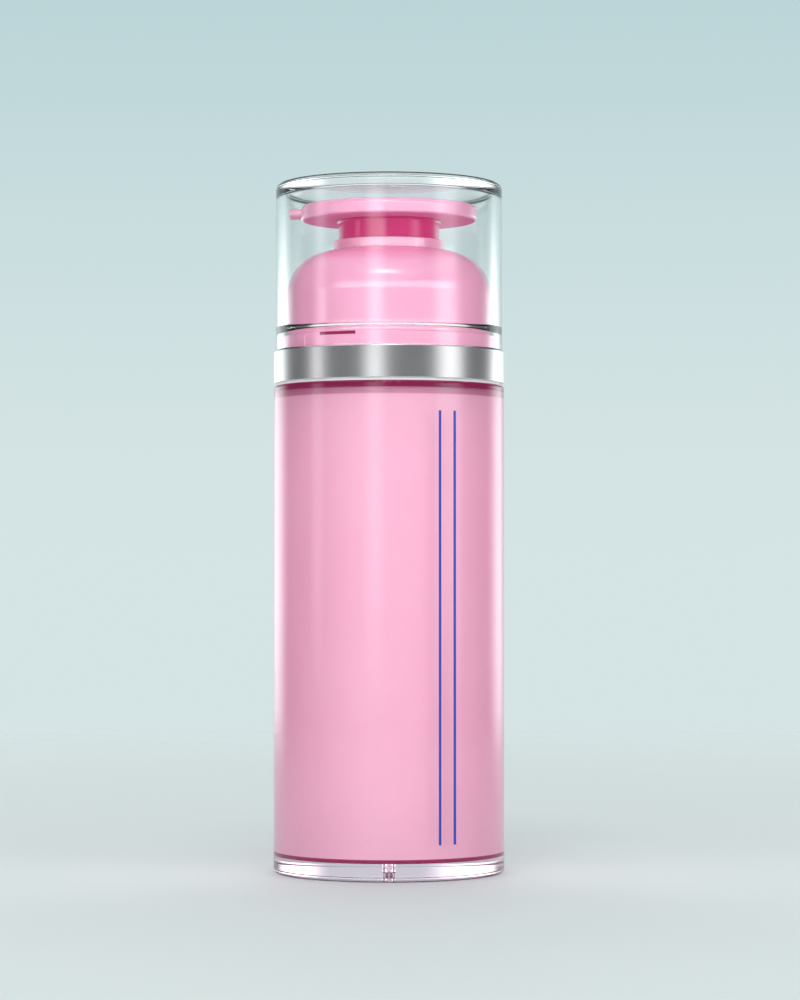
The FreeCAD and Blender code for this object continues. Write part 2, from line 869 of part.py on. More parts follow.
def make_nozzle_tip():
    body = new_body("nozzle_tip")
    inner_end = zero - (button_radius - s.nozzle_hold)
    outer_end = zero - (cap_bore - s.nozzle_gap)
    sketch = new_sketch(body, "nozzle_tip_section", "XZ_Plane", lift=nozzle_level)
    draw_outline(sketch, [
        (outer_end, s.nozzle_bore),
        (inner_end, s.nozzle_bore),
        (inner_end, s.nozzle_radius),
        (outer_end + s.nozzle_round, s.nozzle_radius),
        Arc(s.nozzle_round, LEFT),
        (outer_end, s.nozzle_radius - s.nozzle_round),
    ])
    tube = body.newObject("PartDesign::Revolution", "nozzle_tip_turned")
    tube.Profile = sketch
    tube.ReferenceAxis = (sketch, ["H_Axis"])
    tube.Angle = 360
    doc.recompute()
    return body


def make_actuator_skirt():
    inner = s.skirt_radius - s.skirt_wall
    spigot_outer = s.skirt_radius - s.skirt_wall / 2
    return turned("actuator_skirt", [
        (inner, chimney_crown - s.skirt_engagement),
        (s.skirt_radius, chimney_crown - s.skirt_engagement),
        (s.skirt_radius, button_under - s.skirt_edge - s.skirt_flare),
        Arc(s.skirt_flare, RIGHT),
        (s.skirt_radius + s.skirt_flare, button_under - s.skirt_edge),
        (s.skirt_radius + s.skirt_flare, button_under),
        (spigot_outer, button_under),
        (spigot_outer, button_under + s.skirt_spigot),
        (inner, button_under + s.skirt_spigot),
    ])


def make_overcap():
    step = cap_rim_bore - cap_bore
    rim_crown = band_crown + s.cap_rim_height
    body = turned("overcap", [
        (cap_rim_bore, band_crown),
        (cap_outer, band_crown),
        (cap_outer, cap_crown),
        (zero, cap_crown),
        (zero, cap_ceiling),
        (cap_bore, cap_ceiling),
        (cap_bore, rim_crown + step),
        (cap_rim_bore, rim_crown),
    ])
    rounded(body, s.cap_round, (cap_outer, cap_crown))
    rounded(body, s.cap_inner_round, (cap_bore, cap_ceiling))
    return body


def coil_height(turn, foot, crown):
    """Height of the wire's centre after so many turns: flatter turns at both ends, even turns between."""
    turns = s.coil_turns.value
    end_rise = s.coil_end_pitch.value
    body_rise = crown - foot - 2 * end_rise
    body_pitch = body_rise / (turns - 2)
    if turn <= 1:
        return foot + end_rise * turn, end_rise
    if turn >= turns - 1:
        return crown - end_rise * (turns - turn), end_rise
    return foot + end_rise + body_pitch * (turn - 1), body_pitch


def coil_point(turn, foot, crown):
    """Place and direction of the wire's centre after so many turns."""
    height, pitch = coil_height(turn, foot, crown)
    angle = 2 * math.pi * turn
    radius = s.coil_radius.value
    place = FreeCAD.Vector(radius * math.cos(angle), radius * math.sin(angle), height)
    run = 2 * math.pi * radius
    heading = FreeCAD.Vector(-run * math.sin(angle), run * math.cos(angle), pitch)
    return place, heading.normalize()


def arc_from(start, heading, end):
    """The arc that leaves start along heading and reaches end."""
    chord = end - start
    along = FreeCAD.Vector(chord).normalize()
    sideways = heading - along * heading.dot(along)
    bend = math.acos(max(-1.0, min(1.0, heading.dot(along))))
    sag = chord.Length / 2 * math.tan(bend / 2)
    middle = (start + end) / 2 + sideways.normalize() * sag
    return Part.Arc(start, middle, end).toShape()


def two_arcs(start, heading, end, end_heading):
    """Two tangent arcs between two places of the coil."""
    across = end - start
    both = heading + end_heading
    spread = 2 * (1 - heading.dot(end_heading))
    reach = (math.sqrt(across.dot(both) ** 2 + spread * across.dot(across)) - across.dot(both)) / spread
    join = (start + end + (heading - end_heading) * reach) / 2
    first = arc_from(start, heading, join)
    along = (end - join).normalize()
    join_heading = along * (2 * along.dot(end_heading)) - end_heading
    return [first, arc_from(join, join_heading, end)]


def make_return_spring():
    """One unbroken wire, wound as quarter turns of tangent arcs."""
    foot = guide_crown.value + s.wire_radius.value + s.coil_seat_gap.value
    crown = button_under.value - s.wire_radius.value - s.coil_seat_gap.value
    quarters = int(round(s.coil_turns.value * 4))
    arcs = []
    for quarter in range(quarters):
        start, heading = coil_point(quarter / 4, foot, crown)
        end, end_heading = coil_point((quarter + 1) / 4, foot, crown)
        arcs += two_arcs(start, heading, end, end_heading)
    path = Part.Wire(arcs)
    start, heading = coil_point(0, foot, crown)
    ring = Part.Circle(start, heading, s.wire_radius.value).toShape()
    sweep = Part.BRepOffsetAPI.MakePipeShell(path)
    sweep.add(Part.Wire([ring]))
    sweep.build()
    sweep.makeSolid()
    spring = doc.addObject("Part::Feature", "return_spring")
    spring.Label = "return_spring"
    spring.Shape = sweep.shape()
    print_coil_gap(path)
    doc.recompute()
    return spring


def print_coil_gap(path):
    """Least gap between neighbouring turns of the wire, measured on points along its centre."""
    points = path.discretize(Distance=s.wire_radius.value / 2)
    spacing = path.Length / (len(points) - 1)
    half_turn = int(math.pi * s.coil_radius.value / spacing)
    least = min(
        (points[i] - points[j]).Length
        for i in range(0, len(points), 2)
        for j in range(i + half_turn, len(points), 2)
    )
    print(f"return spring: least gap to itself {least - 2 * s.wire_radius.value:.2f} mm")


pieces = [
    make_outer_bottle(),
    make_inner_bottle(),
    make_inner_base(),
    make_follower_piston(),
    make_collar_ring(),
    make_collar_band(),
    make_dome_shoulder(),
    make_screw_closure(),
    make_neck_gasket(),
    make_pump_housing(),
    make_stem_guide(),
    make_pump_stem(),
    make_piston_core(),
    make_pump_piston(),
    make_inlet_ball(),
    make_return_spring(),
    make_actuator_button(),
    make_nozzle_tip(),
    make_actuator_skirt(),
    make_overcap(),
]
doc.recompute()

for item in doc.Objects:
    if "Invalid" in item.State or "Error" in item.State:
        raise ValueError(f"{item.Label} did not build: {item.State}")

os.makedirs("parts", exist_ok=True)
for piece in pieces:
    if piece.Shape.isNull() or not piece.Shape.isValid():
        raise ValueError(f"{piece.Label} has no valid shape")
    solids = len(piece.Shape.Solids)
    if solids != 1:
        raise ValueError(f"{piece.Label} has {solids} solids")
    piece.Shape.exportStep(f"parts/{piece.Label}.step")
    print(f"{piece.Label}: {piece.Shape.Volume:.1f} mm3")
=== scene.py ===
# %% [markdown]
# # Airless pump bottle
# A pink liner stands in a thick clear jacket. A satin aluminium band joins the jacket to a
# pink pump head, and a clear tumbler covers the head. The measured model is loaded first: it
# holds each piece at its real size, in metres, with the foot on the floor and the nozzle to -X.
# Its box is kept from the start.

# %% Load the measured model
import json
import math

import bpy
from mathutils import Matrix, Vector


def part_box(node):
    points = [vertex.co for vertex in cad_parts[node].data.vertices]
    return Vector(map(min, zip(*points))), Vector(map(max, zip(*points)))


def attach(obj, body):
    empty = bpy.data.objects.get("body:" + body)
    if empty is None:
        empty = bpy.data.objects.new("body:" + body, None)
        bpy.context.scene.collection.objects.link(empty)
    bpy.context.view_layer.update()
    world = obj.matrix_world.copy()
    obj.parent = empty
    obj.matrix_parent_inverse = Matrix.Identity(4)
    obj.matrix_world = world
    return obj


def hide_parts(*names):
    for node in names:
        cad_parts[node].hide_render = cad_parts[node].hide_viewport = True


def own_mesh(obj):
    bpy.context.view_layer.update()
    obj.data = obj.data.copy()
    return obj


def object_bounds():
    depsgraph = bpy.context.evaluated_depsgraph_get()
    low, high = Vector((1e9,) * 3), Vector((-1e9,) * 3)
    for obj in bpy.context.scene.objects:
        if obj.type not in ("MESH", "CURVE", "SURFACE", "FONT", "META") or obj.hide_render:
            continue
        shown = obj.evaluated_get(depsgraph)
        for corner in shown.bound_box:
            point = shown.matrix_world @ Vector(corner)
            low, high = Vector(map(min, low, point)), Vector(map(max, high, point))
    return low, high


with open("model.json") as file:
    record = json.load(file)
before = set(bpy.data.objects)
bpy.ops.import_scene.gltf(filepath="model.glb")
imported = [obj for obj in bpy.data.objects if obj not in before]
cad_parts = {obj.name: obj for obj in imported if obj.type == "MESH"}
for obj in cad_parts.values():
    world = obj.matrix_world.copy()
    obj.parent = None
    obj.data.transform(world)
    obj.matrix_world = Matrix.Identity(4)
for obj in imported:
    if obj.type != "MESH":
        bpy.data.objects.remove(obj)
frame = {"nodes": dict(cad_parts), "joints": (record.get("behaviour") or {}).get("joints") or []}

MM = 0.001
cad_low, cad_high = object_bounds()
print(f"measured model: {len(frame['nodes'])} nodes, {(cad_high.z - cad_low.z) / MM:.1f} mm tall")

# %% [markdown]
# ## Shader sums as plain Python
# A finish is a small calculation: a value from a texture, made stronger, mixed with another.
# Nodes for it could be placed and linked one by one, but the sum then gets lost in the wiring.
# Here one class wraps an output socket. Its operators add Math nodes, and its `node` method
# adds any other node, so that a finish reads as a few lines of arithmetic.

# %% Wires that can be calculated with
class Wire:
    """An output socket that Python's operators can calculate with."""

    def __init__(self, socket):
        self.socket = socket

    def node(self, kind, settings=None, values=None, output=0):
        """Adds a node of any kind, sets it up, fills its sockets and gives one of its outputs."""
        tree = self.socket.id_data
        made = tree.nodes.new(kind)
        for name, setting in (settings or {}).items():
            setattr(made, name, setting)
        for place, value in (values or {}).items():
            if isinstance(value, Wire):
                tree.links.new(value.socket, made.inputs[place])
            else:
                made.inputs[place].default_value = value
        return Wire(made.outputs[output])

    def math(self, operation, first, second):
        return self.node("ShaderNodeMath", {"operation": operation}, {0: first, 1: second})

    def __add__(self, other):
        return self.math("ADD", self, other)

    def __rsub__(self, other):
        return self.math("SUBTRACT", other, self)

    def __mul__(self, other):
        return self.math("MULTIPLY", self, other)

    __radd__ = __add__
    __rmul__ = __mul__


def noise(place, grain, detail=3.0):
    """Cloudy values about one half, in patches about one grain across."""
    return place.node("ShaderNodeTexNoise", values={"Vector": place, "Scale": 1 / grain, "Detail": detail})


def rising(value, low, high):
    """Goes smoothly from 0 to 1 while a value goes from low to high."""
    return value.node(
        "ShaderNodeMapRange", {"interpolation_type": "SMOOTHSTEP"},
        {"Value": value, "From Min": low, "From Max": high},
    )


def between(factor, first, second):
    """A colour between two colours."""
    return factor.node("ShaderNodeMix", {"data_type": "RGBA"}, {0: factor, 6: first, 7: second}, output=2)


def bumps(height, depth):
    """A surface direction that is tilted as if height rose by this depth."""
    return height.node("ShaderNodeBump", values={"Height": height, "Distance": depth, "Strength": 1.0})


def reach(place, axis):
    """How far a place or a direction reaches along X, Y or Z."""
    return place.node("ShaderNodeSeparateXYZ", values={"Vector": place}, output=axis)


def light_path(place, question):
    """What Blender knows of the ray that met a surface or the world."""
    return place.node("ShaderNodeLightPath", output=question)


print("shader helpers ready")

# %% [markdown]
# ## Starting a finish
# Every finish starts with Blender's Principled shader. What is the same all over a surface is
# set on its sockets, and what varies is fed in by a wire. The patterns read Object coordinates,
# so they are in metres and stay put when a piece moves. Colours are noted as they look on a
# screen and turned into the linear values that the shader expects.

# %% Start a finish
def seen_colour(red, green, blue):
    """Linear colour of an on-screen colour from 0 to 255."""
    def linear(level):
        share = level / 255
        return share / 12.92 if share <= 0.04045 else ((share + 0.055) / 1.055) ** 2.4
    return (linear(red), linear(green), linear(blue), 1.0)


def new_finish(name, constants):
    finish = bpy.data.materials.new(name)
    finish.use_nodes = True
    shader = finish.node_tree.nodes["Principled BSDF"]
    for socket, value in constants.items():
        shader.inputs[socket].default_value = value
    place = Wire(finish.node_tree.nodes.new("ShaderNodeTexCoord").outputs["Object"])
    return finish, shader, place


def feed(shader, wires):
    for socket, wire in wires.items():
        shader.id_data.links.new(wire.socket, shader.inputs[socket])


def let_light_through(finish, shader, share, tint):
    """Gives a share of a finish to a plain transparent shader."""
    tree = finish.node_tree
    solid = Wire(shader.outputs["BSDF"])
    open_way = share.node("ShaderNodeBsdfTransparent", values={"Color": tint})
    mixed = share.node("ShaderNodeMixShader", values={0: share, 1: solid, 2: open_way})
    tree.links.new(mixed.socket, tree.nodes["Material Output"].inputs["Surface"])


print("finish helpers ready")

# %% [markdown]
# ## Clear acrylic
# The jacket and the tumbler are injection moulded acrylic, polished, with an index of 1.49.
# Real refraction makes their bright edges, so the walls get their true thickness and this shader
# bends light. Moulding leaves long, very faint waves, and hands leave a haze in patches. Lamps
# could not reach the pink pieces through refracting walls in reasonable time, so the rays that
# only ask whether a lamp is hidden pass through a plain transparent shader instead.
#
# The jacket's acrylic has a trace of rose. Light crosses three millimetres of its wall but almost
# fifty of its base, so the tint of its surface is deeper round the base.

# %% Clear acrylic
ACRYLIC_INDEX = 1.49
HAZE_PATCH = 14 * MM
WAVE_LENGTH = 30 * MM
WAVE_DEPTH = 0.008 * MM
SHADOW_TINT = (0.95, 0.96, 0.96, 1.0)
BASE_THICKNESS = 3.6 * MM
TINT_EDGE = 0.3 * MM


def clear_acrylic(name, tint):
    finish, shader, place = new_finish(name, {
        "Base Color": tint,
        "Transmission Weight": 1.0,
        "IOR": ACRYLIC_INDEX,
    })
    haze = rising(noise(place, HAZE_PATCH), 0.5, 0.8)
    waves = noise(place, WAVE_LENGTH, detail=0.0)
    feed(shader, {
        "Roughness": haze * 0.03 + 0.004,
        "Normal": bumps(waves, WAVE_DEPTH),
    })
    let_light_through(finish, shader, light_path(place, "Is Shadow Ray"), SHADOW_TINT)
    return finish, shader, place


def rose_acrylic(wall_tint, base_tint):
    finish, shader, place = clear_acrylic("rose_clear_acrylic", wall_tint)
    in_wall = rising(reach(place, "Z"), BASE_THICKNESS - TINT_EDGE, BASE_THICKNESS + TINT_EDGE)
    feed(shader, {"Base Color": between(in_wall, base_tint, wall_tint)})
    return finish


CLEAR, _, _ = clear_acrylic("clear_acrylic", (0.985, 0.995, 0.995, 1.0))
ROSE_CLEAR = rose_acrylic((0.985, 0.915, 0.95, 1.0), (0.975, 0.77, 0.875, 1.0))
print("made", CLEAR.name, "and", ROSE_CLEAR.name)

# %% [markdown]
# ## Pink plastic
# The liner, the shoulder and the press disc are moulded in a soft pink, and the sleeve under the
# disc in a deeper one. The colour is in the plastic, so it only drifts a little where the melt
# flowed. Fine pearl flakes below the skin scatter a broad, pale sheen towards the light: a high
# index makes it strong and a high roughness makes it broad. The polished skin over them is a
# clear coat with a tight gloss. One function makes both pinks, as only their colours and the
# strength of the pearl differ. The disc's underside comes from a blasted mould, so a second
# function makes a matt pink with neither pearl nor polish. Its pink is darker than the disc's,
# as painted shade under the disc.

# %% Pink plastics
PEARL_INDEX = 2.0
SLEEVE_INDEX = 1.4
MATT_INDEX = 1.3
FLOW_PATCH = 24 * MM
POLISH_PATCH = 9 * MM
SKIN_GRAIN = 0.5 * MM
SKIN_DEPTH = 0.002 * MM
MATT_GRAIN = 0.3 * MM
MATT_DEPTH = 0.02 * MM


def pink_moulding(name, light, deep, index):
    finish, shader, place = new_finish(name, {
        "IOR": index,
        "Coat Roughness": 0.06,
        "Subsurface Weight": 0.12,
        "Subsurface Radius": (1.0, 0.45, 0.6),
        "Subsurface Scale": 1.2 * MM,
    })
    drift = noise(place, FLOW_PATCH)
    skin = noise(place, SKIN_GRAIN)
    patches = rising(noise(place, POLISH_PATCH, detail=2.0), 0.35, 0.75)
    feed(shader, {
        "Base Color": between(rising(drift, 0.3, 0.7), light, deep),
        "Roughness": patches * 0.05 + skin * 0.05 + 0.38,
        "Coat Weight": 1.0 - patches * 0.15,
        "Normal": bumps(skin, SKIN_DEPTH),
    })
    return finish


def matt_pink(name, light, deep):
    """A pink with neither pearl nor polish."""
    finish, shader, place = new_finish(name, {"IOR": MATT_INDEX})
    skin = noise(place, MATT_GRAIN)
    feed(shader, {
        "Base Color": between(skin, light, deep),
        "Roughness": skin * 0.2 + 0.6,
        "Normal": bumps(skin, MATT_DEPTH),
    })
    return finish


PINK = pink_moulding("pink_plastic", seen_colour(252, 170, 208), seen_colour(249, 162, 202), PEARL_INDEX)
DEEP_PINK = pink_moulding(
    "deep_pink_plastic", seen_colour(230, 46, 138), seen_colour(222, 38, 128), SLEEVE_INDEX)
# The darker pink of this matt finish is painted shade for the disc's underside.
SHADED_MATT_PINK = matt_pink("matt_pink_with_painted_shade", seen_colour(238, 140, 192), seen_colour(232, 132, 184))
print("made", PINK.name, DEEP_PINK.name, SHADED_MATT_PINK.name)

# %% [markdown]
# ## Lacquer in the jacket
# The pink reaches right to the jacket's edges, which only colour in touch with the clear wall can
# do: an air gap would leave a clear border. So the jacket's bore has a sprayed coat of the same
# pearly pink. It lies under the acrylic, so it has no gloss of its own apart from the pearl.
# Spraying leaves fine mottling. Near the top the coat is painted darker, as a painted shadow of
# the band above. The corners at both ends of the bore are painted dark pink without pearl: painted shade.

# %% Pink lacquer
LACQUER_FOOT = 4.4 * MM
BAND_SHADOW_FOOT = 98.6 * MM
BAND_SHADOW_EDGE = 0.2 * MM
LACQUER_INDEX = 2.3
MOTTLE_GRAIN = 0.8 * MM
MOTTLE_DEPTH = 0.003 * MM
SPRAY_PATCH = 30 * MM


def pink_lacquer(light, deep, band_shadow):
    finish, shader, place = new_finish("pink_lacquer", {"IOR": LACQUER_INDEX})
    mottle = noise(place, MOTTLE_GRAIN)
    drift = noise(place, SPRAY_PATCH, detail=2.0)
    coat = between(rising(drift + mottle * 0.3, 0.4, 0.9), light, deep)
    # Painted shadow: above this height the coat is painted darker, as the band's shadow on the top of the
    # bore.
    in_band_shadow = rising(reach(place, "Z"), BAND_SHADOW_FOOT - BAND_SHADOW_EDGE, BAND_SHADOW_FOOT + BAND_SHADOW_EDGE)
    feed(shader, {
        "Base Color": between(in_band_shadow, coat, band_shadow),
        "Roughness": mottle * 0.1 + 0.42,
        "Normal": bumps(mottle, MOTTLE_DEPTH),
    })
    return finish


# The third colour is the band's painted shadow near the top of the bore.
LACQUER = pink_lacquer(seen_colour(254, 183, 215), seen_colour(252, 176, 210), seen_colour(206, 96, 150))
# Painted shade: a dark matt pink for corners and grooves that lie in shade.
PAINTED_SHADE = matt_pink("painted_shade_pink", seen_colour(170, 34, 98), seen_colour(154, 26, 86))
print("made", LACQUER.name, "and", PAINTED_SHADE.name)

# %% [markdown]
# ## Satin aluminium
# The band is drawn aluminium, blasted to a fine satin and then anodised, so it mirrors the studio
# softly, with a visible grain. Its two edges are turned bright. The grain goes into roughness,
# colour and bump alike, and a mask by height leaves the edges smooth.

# %% Satin aluminium
band_low, band_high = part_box("collar_band")
BRIGHT_EDGE = 0.3 * MM
SATIN_GRAIN = 0.25 * MM
SATIN_DEPTH = 0.003 * MM
SATIN_CLOUD = 5 * MM


def satin_aluminium():
    finish, shader, place = new_finish("satin_aluminium", {"Metallic": 1.0})
    height = reach(place, "Z")
    satin = rising(height, band_low.z + BRIGHT_EDGE / 2, band_low.z + BRIGHT_EDGE) * (
        1 - rising(height, band_high.z - BRIGHT_EDGE, band_high.z - BRIGHT_EDGE / 2))
    grain = noise(place, SATIN_GRAIN)
    cloud = noise(place, SATIN_CLOUD, detail=2.0)
    feed(shader, {
        "Base Color": between(grain, seen_colour(224, 224, 227), seen_colour(246, 246, 248)),
        "Roughness": 0.12 + satin * (grain * 0.08 + cloud * 0.04 + 0.12),
        "Normal": bumps(grain * satin, SATIN_DEPTH),
    })
    return finish


ALUMINIUM = satin_aluminium()
print("made", ALUMINIUM.name)

# %% [markdown]
# ## What is inside
# The pump is mostly hidden, but it comes with the bottle. Its housing and screw closure are white
# moulded plastic, its seals a waxy, softer one, the gasket pale rubber and the spring and ball
# drawn steel. Each has the grain of its process: a moulded skin, a waxy cloud, rubber's fine
# pores, or the fine marks of drawing.

# %% Finishes of the pump
PLASTIC_INDEX = 1.49
MELT_CLOUD = 12 * MM
DRAWING_MARK = 0.12 * MM
MARK_DEPTH = 0.002 * MM


def moulded(name, light, deep, grain, roughness, depth):
    finish, shader, place = new_finish(name, {"IOR": PLASTIC_INDEX})
    cloud = noise(place, MELT_CLOUD)
    skin = noise(place, grain)
    feed(shader, {
        "Base Color": between(cloud, light, deep),
        "Roughness": roughness + skin * 0.15,
        "Normal": bumps(skin, depth),
    })
    return finish


def drawn_steel():
    finish, shader, place = new_finish("drawn_steel", {"Metallic": 1.0})
    marks = noise(place, DRAWING_MARK, detail=4.0)
    feed(shader, {
        "Base Color": between(marks, seen_colour(176, 178, 182), seen_colour(214, 215, 218)),
        "Roughness": marks * 0.2 + 0.16,
        "Normal": bumps(marks, MARK_DEPTH),
    })
    return finish


WHITE = moulded(
    "white_plastic", seen_colour(238, 238, 234), seen_colour(228, 229, 226),
    grain=0.4 * MM, roughness=0.32, depth=0.008 * MM)
SOFT = moulded(
    "soft_plastic", seen_colour(226, 230, 228), seen_colour(210, 217, 216),
    grain=0.9 * MM, roughness=0.42, depth=0.012 * MM)
RUBBER = moulded(
    "gasket_rubber", seen_colour(226, 226, 223), seen_colour(216, 216, 212),
    grain=0.25 * MM, roughness=0.6, depth=0.02 * MM)
STEEL = drawn_steel()
print("made", WHITE.name, SOFT.name, RUBBER.name, STEEL.name)

# %% [markdown]
# ## Printing ink
# The print on the jacket is one blue ink, screen printed. The screen leaves a faint weave in the
# film and the ink is a touch thinner in places.

# %% Printing ink
INK_INDEX = 1.5
SCREEN_WEAVE = 0.25 * MM
WEAVE_DEPTH = 0.004 * MM
INK_PATCH = 7 * MM


def printing_ink():
    finish, shader, place = new_finish("blue_ink", {"IOR": INK_INDEX})
    film = noise(place, SCREEN_WEAVE, detail=2.0)
    coat = noise(place, INK_PATCH, detail=2.0)
    feed(shader, {
        "Base Color": between(coat, seen_colour(22, 56, 168), seen_colour(28, 64, 176)),
        "Roughness": film * 0.1 + 0.26,
        "Normal": bumps(film, WEAVE_DEPTH),
    })
    return finish


INK = printing_ink()
print("made", INK.name)

# %% [markdown]
# ## Working by hand, in code
# An operator acts on all that is selected, so each step first lets go of everything and then takes
# hold of what it needs. Vertices are picked by their place, as a hand would click them. A round
# piece is drawn as half of its section: one vertex is extruded from corner to corner, chosen
# corners are rounded with a vertex bevel, and the line is spun about an axis. A bevel would also
# work on the finished solid, but on the flat section it is exact and quick.

# %% Selecting
TOUCH = 0.001 * MM


def let_go():
    if bpy.context.object is not None and bpy.context.object.mode != "OBJECT":
        bpy.ops.object.mode_set(mode="OBJECT")
    bpy.ops.object.select_all(action="DESELECT")


def take(piece):
    let_go()
    piece.select_set(True)
    bpy.context.view_layer.objects.active = piece


def pick(piece, wanted):
    """In edit mode, selects the vertices whose place is wanted, and nothing else."""
    bpy.ops.object.mode_set(mode="OBJECT")
    mesh = piece.data
    mesh.polygons.foreach_set("select", [False] * len(mesh.polygons))
    mesh.edges.foreach_set("select", [False] * len(mesh.edges))
    mesh.vertices.foreach_set("select", [bool(wanted(vertex.co)) for vertex in mesh.vertices])
    bpy.ops.object.mode_set(mode="EDIT")


def name_piece(name):
    piece = bpy.context.object
    piece.name = name
    piece.data.name = name
    return piece


print("selection helpers ready")

# %% Turning a section
TURN_STEPS = 240
SMOOTH_ANGLE = math.radians(35)
ARC_LENGTH = 0.18 * MM
LEAST_SEGMENTS = 3
MOST_SEGMENTS = 40
FINE_ROUND = 0.1 * MM
SMALL_ROUND = 0.15 * MM
EDGE_ROUND = 0.25 * MM
CORNER_ROUND = 0.3 * MM


def upright_corner(across, along):
    return Vector((across, 0.0, along))


def draw_section(name, places):
    """Draws a line from place to place by extruding one vertex."""
    let_go()
    bpy.ops.mesh.primitive_plane_add(size=MM)
    piece = name_piece(name)
    bpy.ops.object.mode_set(mode="EDIT")
    bpy.ops.mesh.merge(type="CENTER")
    bpy.ops.transform.translate(value=places[0])
    for start, end in zip(places, places[1:]):
        bpy.ops.mesh.extrude_region_move(TRANSFORM_OT_translate={"value": end - start})
    bpy.ops.mesh.select_all(action="SELECT")
    bpy.ops.mesh.remove_doubles(threshold=TOUCH)
    return piece


def round_corners(piece, rounds):
    """Rounds each given place of a section by its own radius."""
    for radius in sorted(set(rounds.values())):
        places = [Vector(place) for place, wanted in rounds.items() if wanted == radius]
        pick(piece, lambda here: any((here - place).length < TOUCH for place in places))
        segments = round(radius * math.pi / 2 / ARC_LENGTH)
        segments = max(LEAST_SEGMENTS, min(MOST_SEGMENTS, segments))
        bpy.ops.mesh.bevel(offset=radius, offset_type="OFFSET", segments=segments, affect="VERTICES")


def close_mesh(piece):
    """Merges seams and poles, turns the faces outwards and smooths all but the sharp edges."""
    bpy.ops.object.mode_set(mode="EDIT")
    bpy.ops.mesh.select_all(action="SELECT")
    bpy.ops.mesh.remove_doubles(threshold=TOUCH)
    bpy.ops.mesh.normals_make_consistent(inside=False)
    bpy.ops.object.mode_set(mode="OBJECT")
    take(piece)
    bpy.ops.object.shade_smooth_by_angle(angle=SMOOTH_ANGLE)


def turned(name, corners, corner=upright_corner, centre=(0, 0, 0), axis=(0, 0, 1), steps=TURN_STEPS):
    """A turned piece from (across, along, rounding) corners. A section off the axis is closed."""
    places = [corner(across, along) for across, along, rounding in corners]
    hollow = corners[0][0] > 0
    rounds = {tuple(place): rounding for place, (_, _, rounding) in zip(places, corners) if rounding}
    piece = draw_section(name, places + places[:1] if hollow else places)
    round_corners(piece, rounds)
    bpy.ops.mesh.select_all(action="SELECT")
    bpy.ops.mesh.spin(steps=steps, angle=math.tau, center=centre, axis=axis, use_auto_merge=True)
    close_mesh(piece)
    return piece


def apply_modifier(piece, kind, **settings):
    take(piece)
    bpy.ops.object.modifier_add(type=kind)
    modifier = piece.modifiers[-1]
    for name, value in settings.items():
        setattr(modifier, name, value)
    bpy.ops.object.modifier_apply(modifier=modifier.name)


def settle(piece, body, slot, finish, *nodes):
    """Evens the shading, then gives a piece its finish and its body, and hides the nodes it stands for."""
    apply_modifier(piece, "WEIGHTED_NORMAL", keep_sharp=True)
    piece.data.materials.clear()
    piece.data.materials.append(finish)
    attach(piece, body)
    if nodes:
        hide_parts(*nodes)
    print(f"{piece.name}: {len(piece.data.polygons)} faces on {body}")


print("turning helpers ready")

# %% [markdown]
# ## Overcap
# The clear tumbler is the thickest looking piece: a straight wall, a flat top a little thicker
# than the wall, and a thinner rim that steps back to pass over the seat ring. The rounded
# corners catch light as bright lines.

# %% Overcap
CAP_WALL = 2.05 * MM
CAP_RIM_WALL = 1.15 * MM
CAP_RIM_HEIGHT = 3.8 * MM
CAP_TOP = 2.3 * MM
CAP_TOP_ROUND = 1.3 * MM
CAP_STEP_ROUND = 0.4 * MM
CAP_CEILING_ROUND = 0.8 * MM

cap_low, cap_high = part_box("overcap")


def make_overcap():
    outer = cap_high.x
    bore = outer - CAP_WALL
    rim_bore = outer - CAP_RIM_WALL
    step = cap_low.z + CAP_RIM_HEIGHT
    ceiling = cap_high.z - CAP_TOP
    return turned("clear_overcap", [
        (0, cap_high.z, 0),
        (outer, cap_high.z, CAP_TOP_ROUND),
        (outer, cap_low.z, EDGE_ROUND),
        (rim_bore, cap_low.z, EDGE_ROUND),
        (rim_bore, step, CAP_STEP_ROUND),
        (bore, step + rim_bore - bore, CAP_STEP_ROUND),
        (bore, ceiling, CAP_CEILING_ROUND),
        (0, ceiling, 0),
    ])


settle(make_overcap(), "cap", "clear_plastic", CLEAR, "overcap")

# %% [markdown]
# ## Outer bottle
# The jacket is a clear beaker with a thick wall. Its foot is hollowed a little, so that it stands
# on a ring, and a small hole in the middle lets air in under the follower. A rabbet inside the
# rim takes the liner's flange. The faces of the bore are then picked by their place and given the
# lacquer, and those in its two end corners a dark pink that is painted shade.

# %% Outer bottle
BOTTLE_WALL = 3.25 * MM
FOOT_WIDTH = 4.5 * MM
FOOT_RECESS = 0.7 * MM
FOOT_ROUND = 1.0 * MM
RIM_ROUND = 0.6 * MM
BORE_ROUND = 0.25 * MM
VENT_RADIUS = 0.9 * MM
FLANGE_THICKNESS = 1.2 * MM
FLANGE_OVERHANG = 1.5 * MM
FIT_GAP = 0.05 * MM

_, bottle_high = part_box("outer_bottle")
bottle_radius = bottle_high.x
bottle_bore = bottle_radius - BOTTLE_WALL
flange_under = bottle_high.z - FLANGE_THICKNESS
rabbet = bottle_bore + FLANGE_OVERHANG + FIT_GAP


def make_outer_bottle():
    foot_inner = bottle_radius - FOOT_WIDTH
    return turned("clear_bottle", [
        (VENT_RADIUS, FOOT_RECESS, FINE_ROUND),
        (foot_inner - FOOT_RECESS, FOOT_RECESS, CORNER_ROUND),
        (foot_inner, 0, CORNER_ROUND),
        (bottle_radius, 0, FOOT_ROUND),
        (bottle_radius, bottle_high.z, RIM_ROUND),
        (rabbet, bottle_high.z, FINE_ROUND),
        (rabbet, flange_under, FINE_ROUND),
        (bottle_bore, flange_under, FINE_ROUND),
        (bottle_bore, LACQUER_FOOT, 0),
        (bottle_bore, BASE_THICKNESS, BORE_ROUND),
        (VENT_RADIUS, BASE_THICKNESS, FINE_ROUND),
    ])


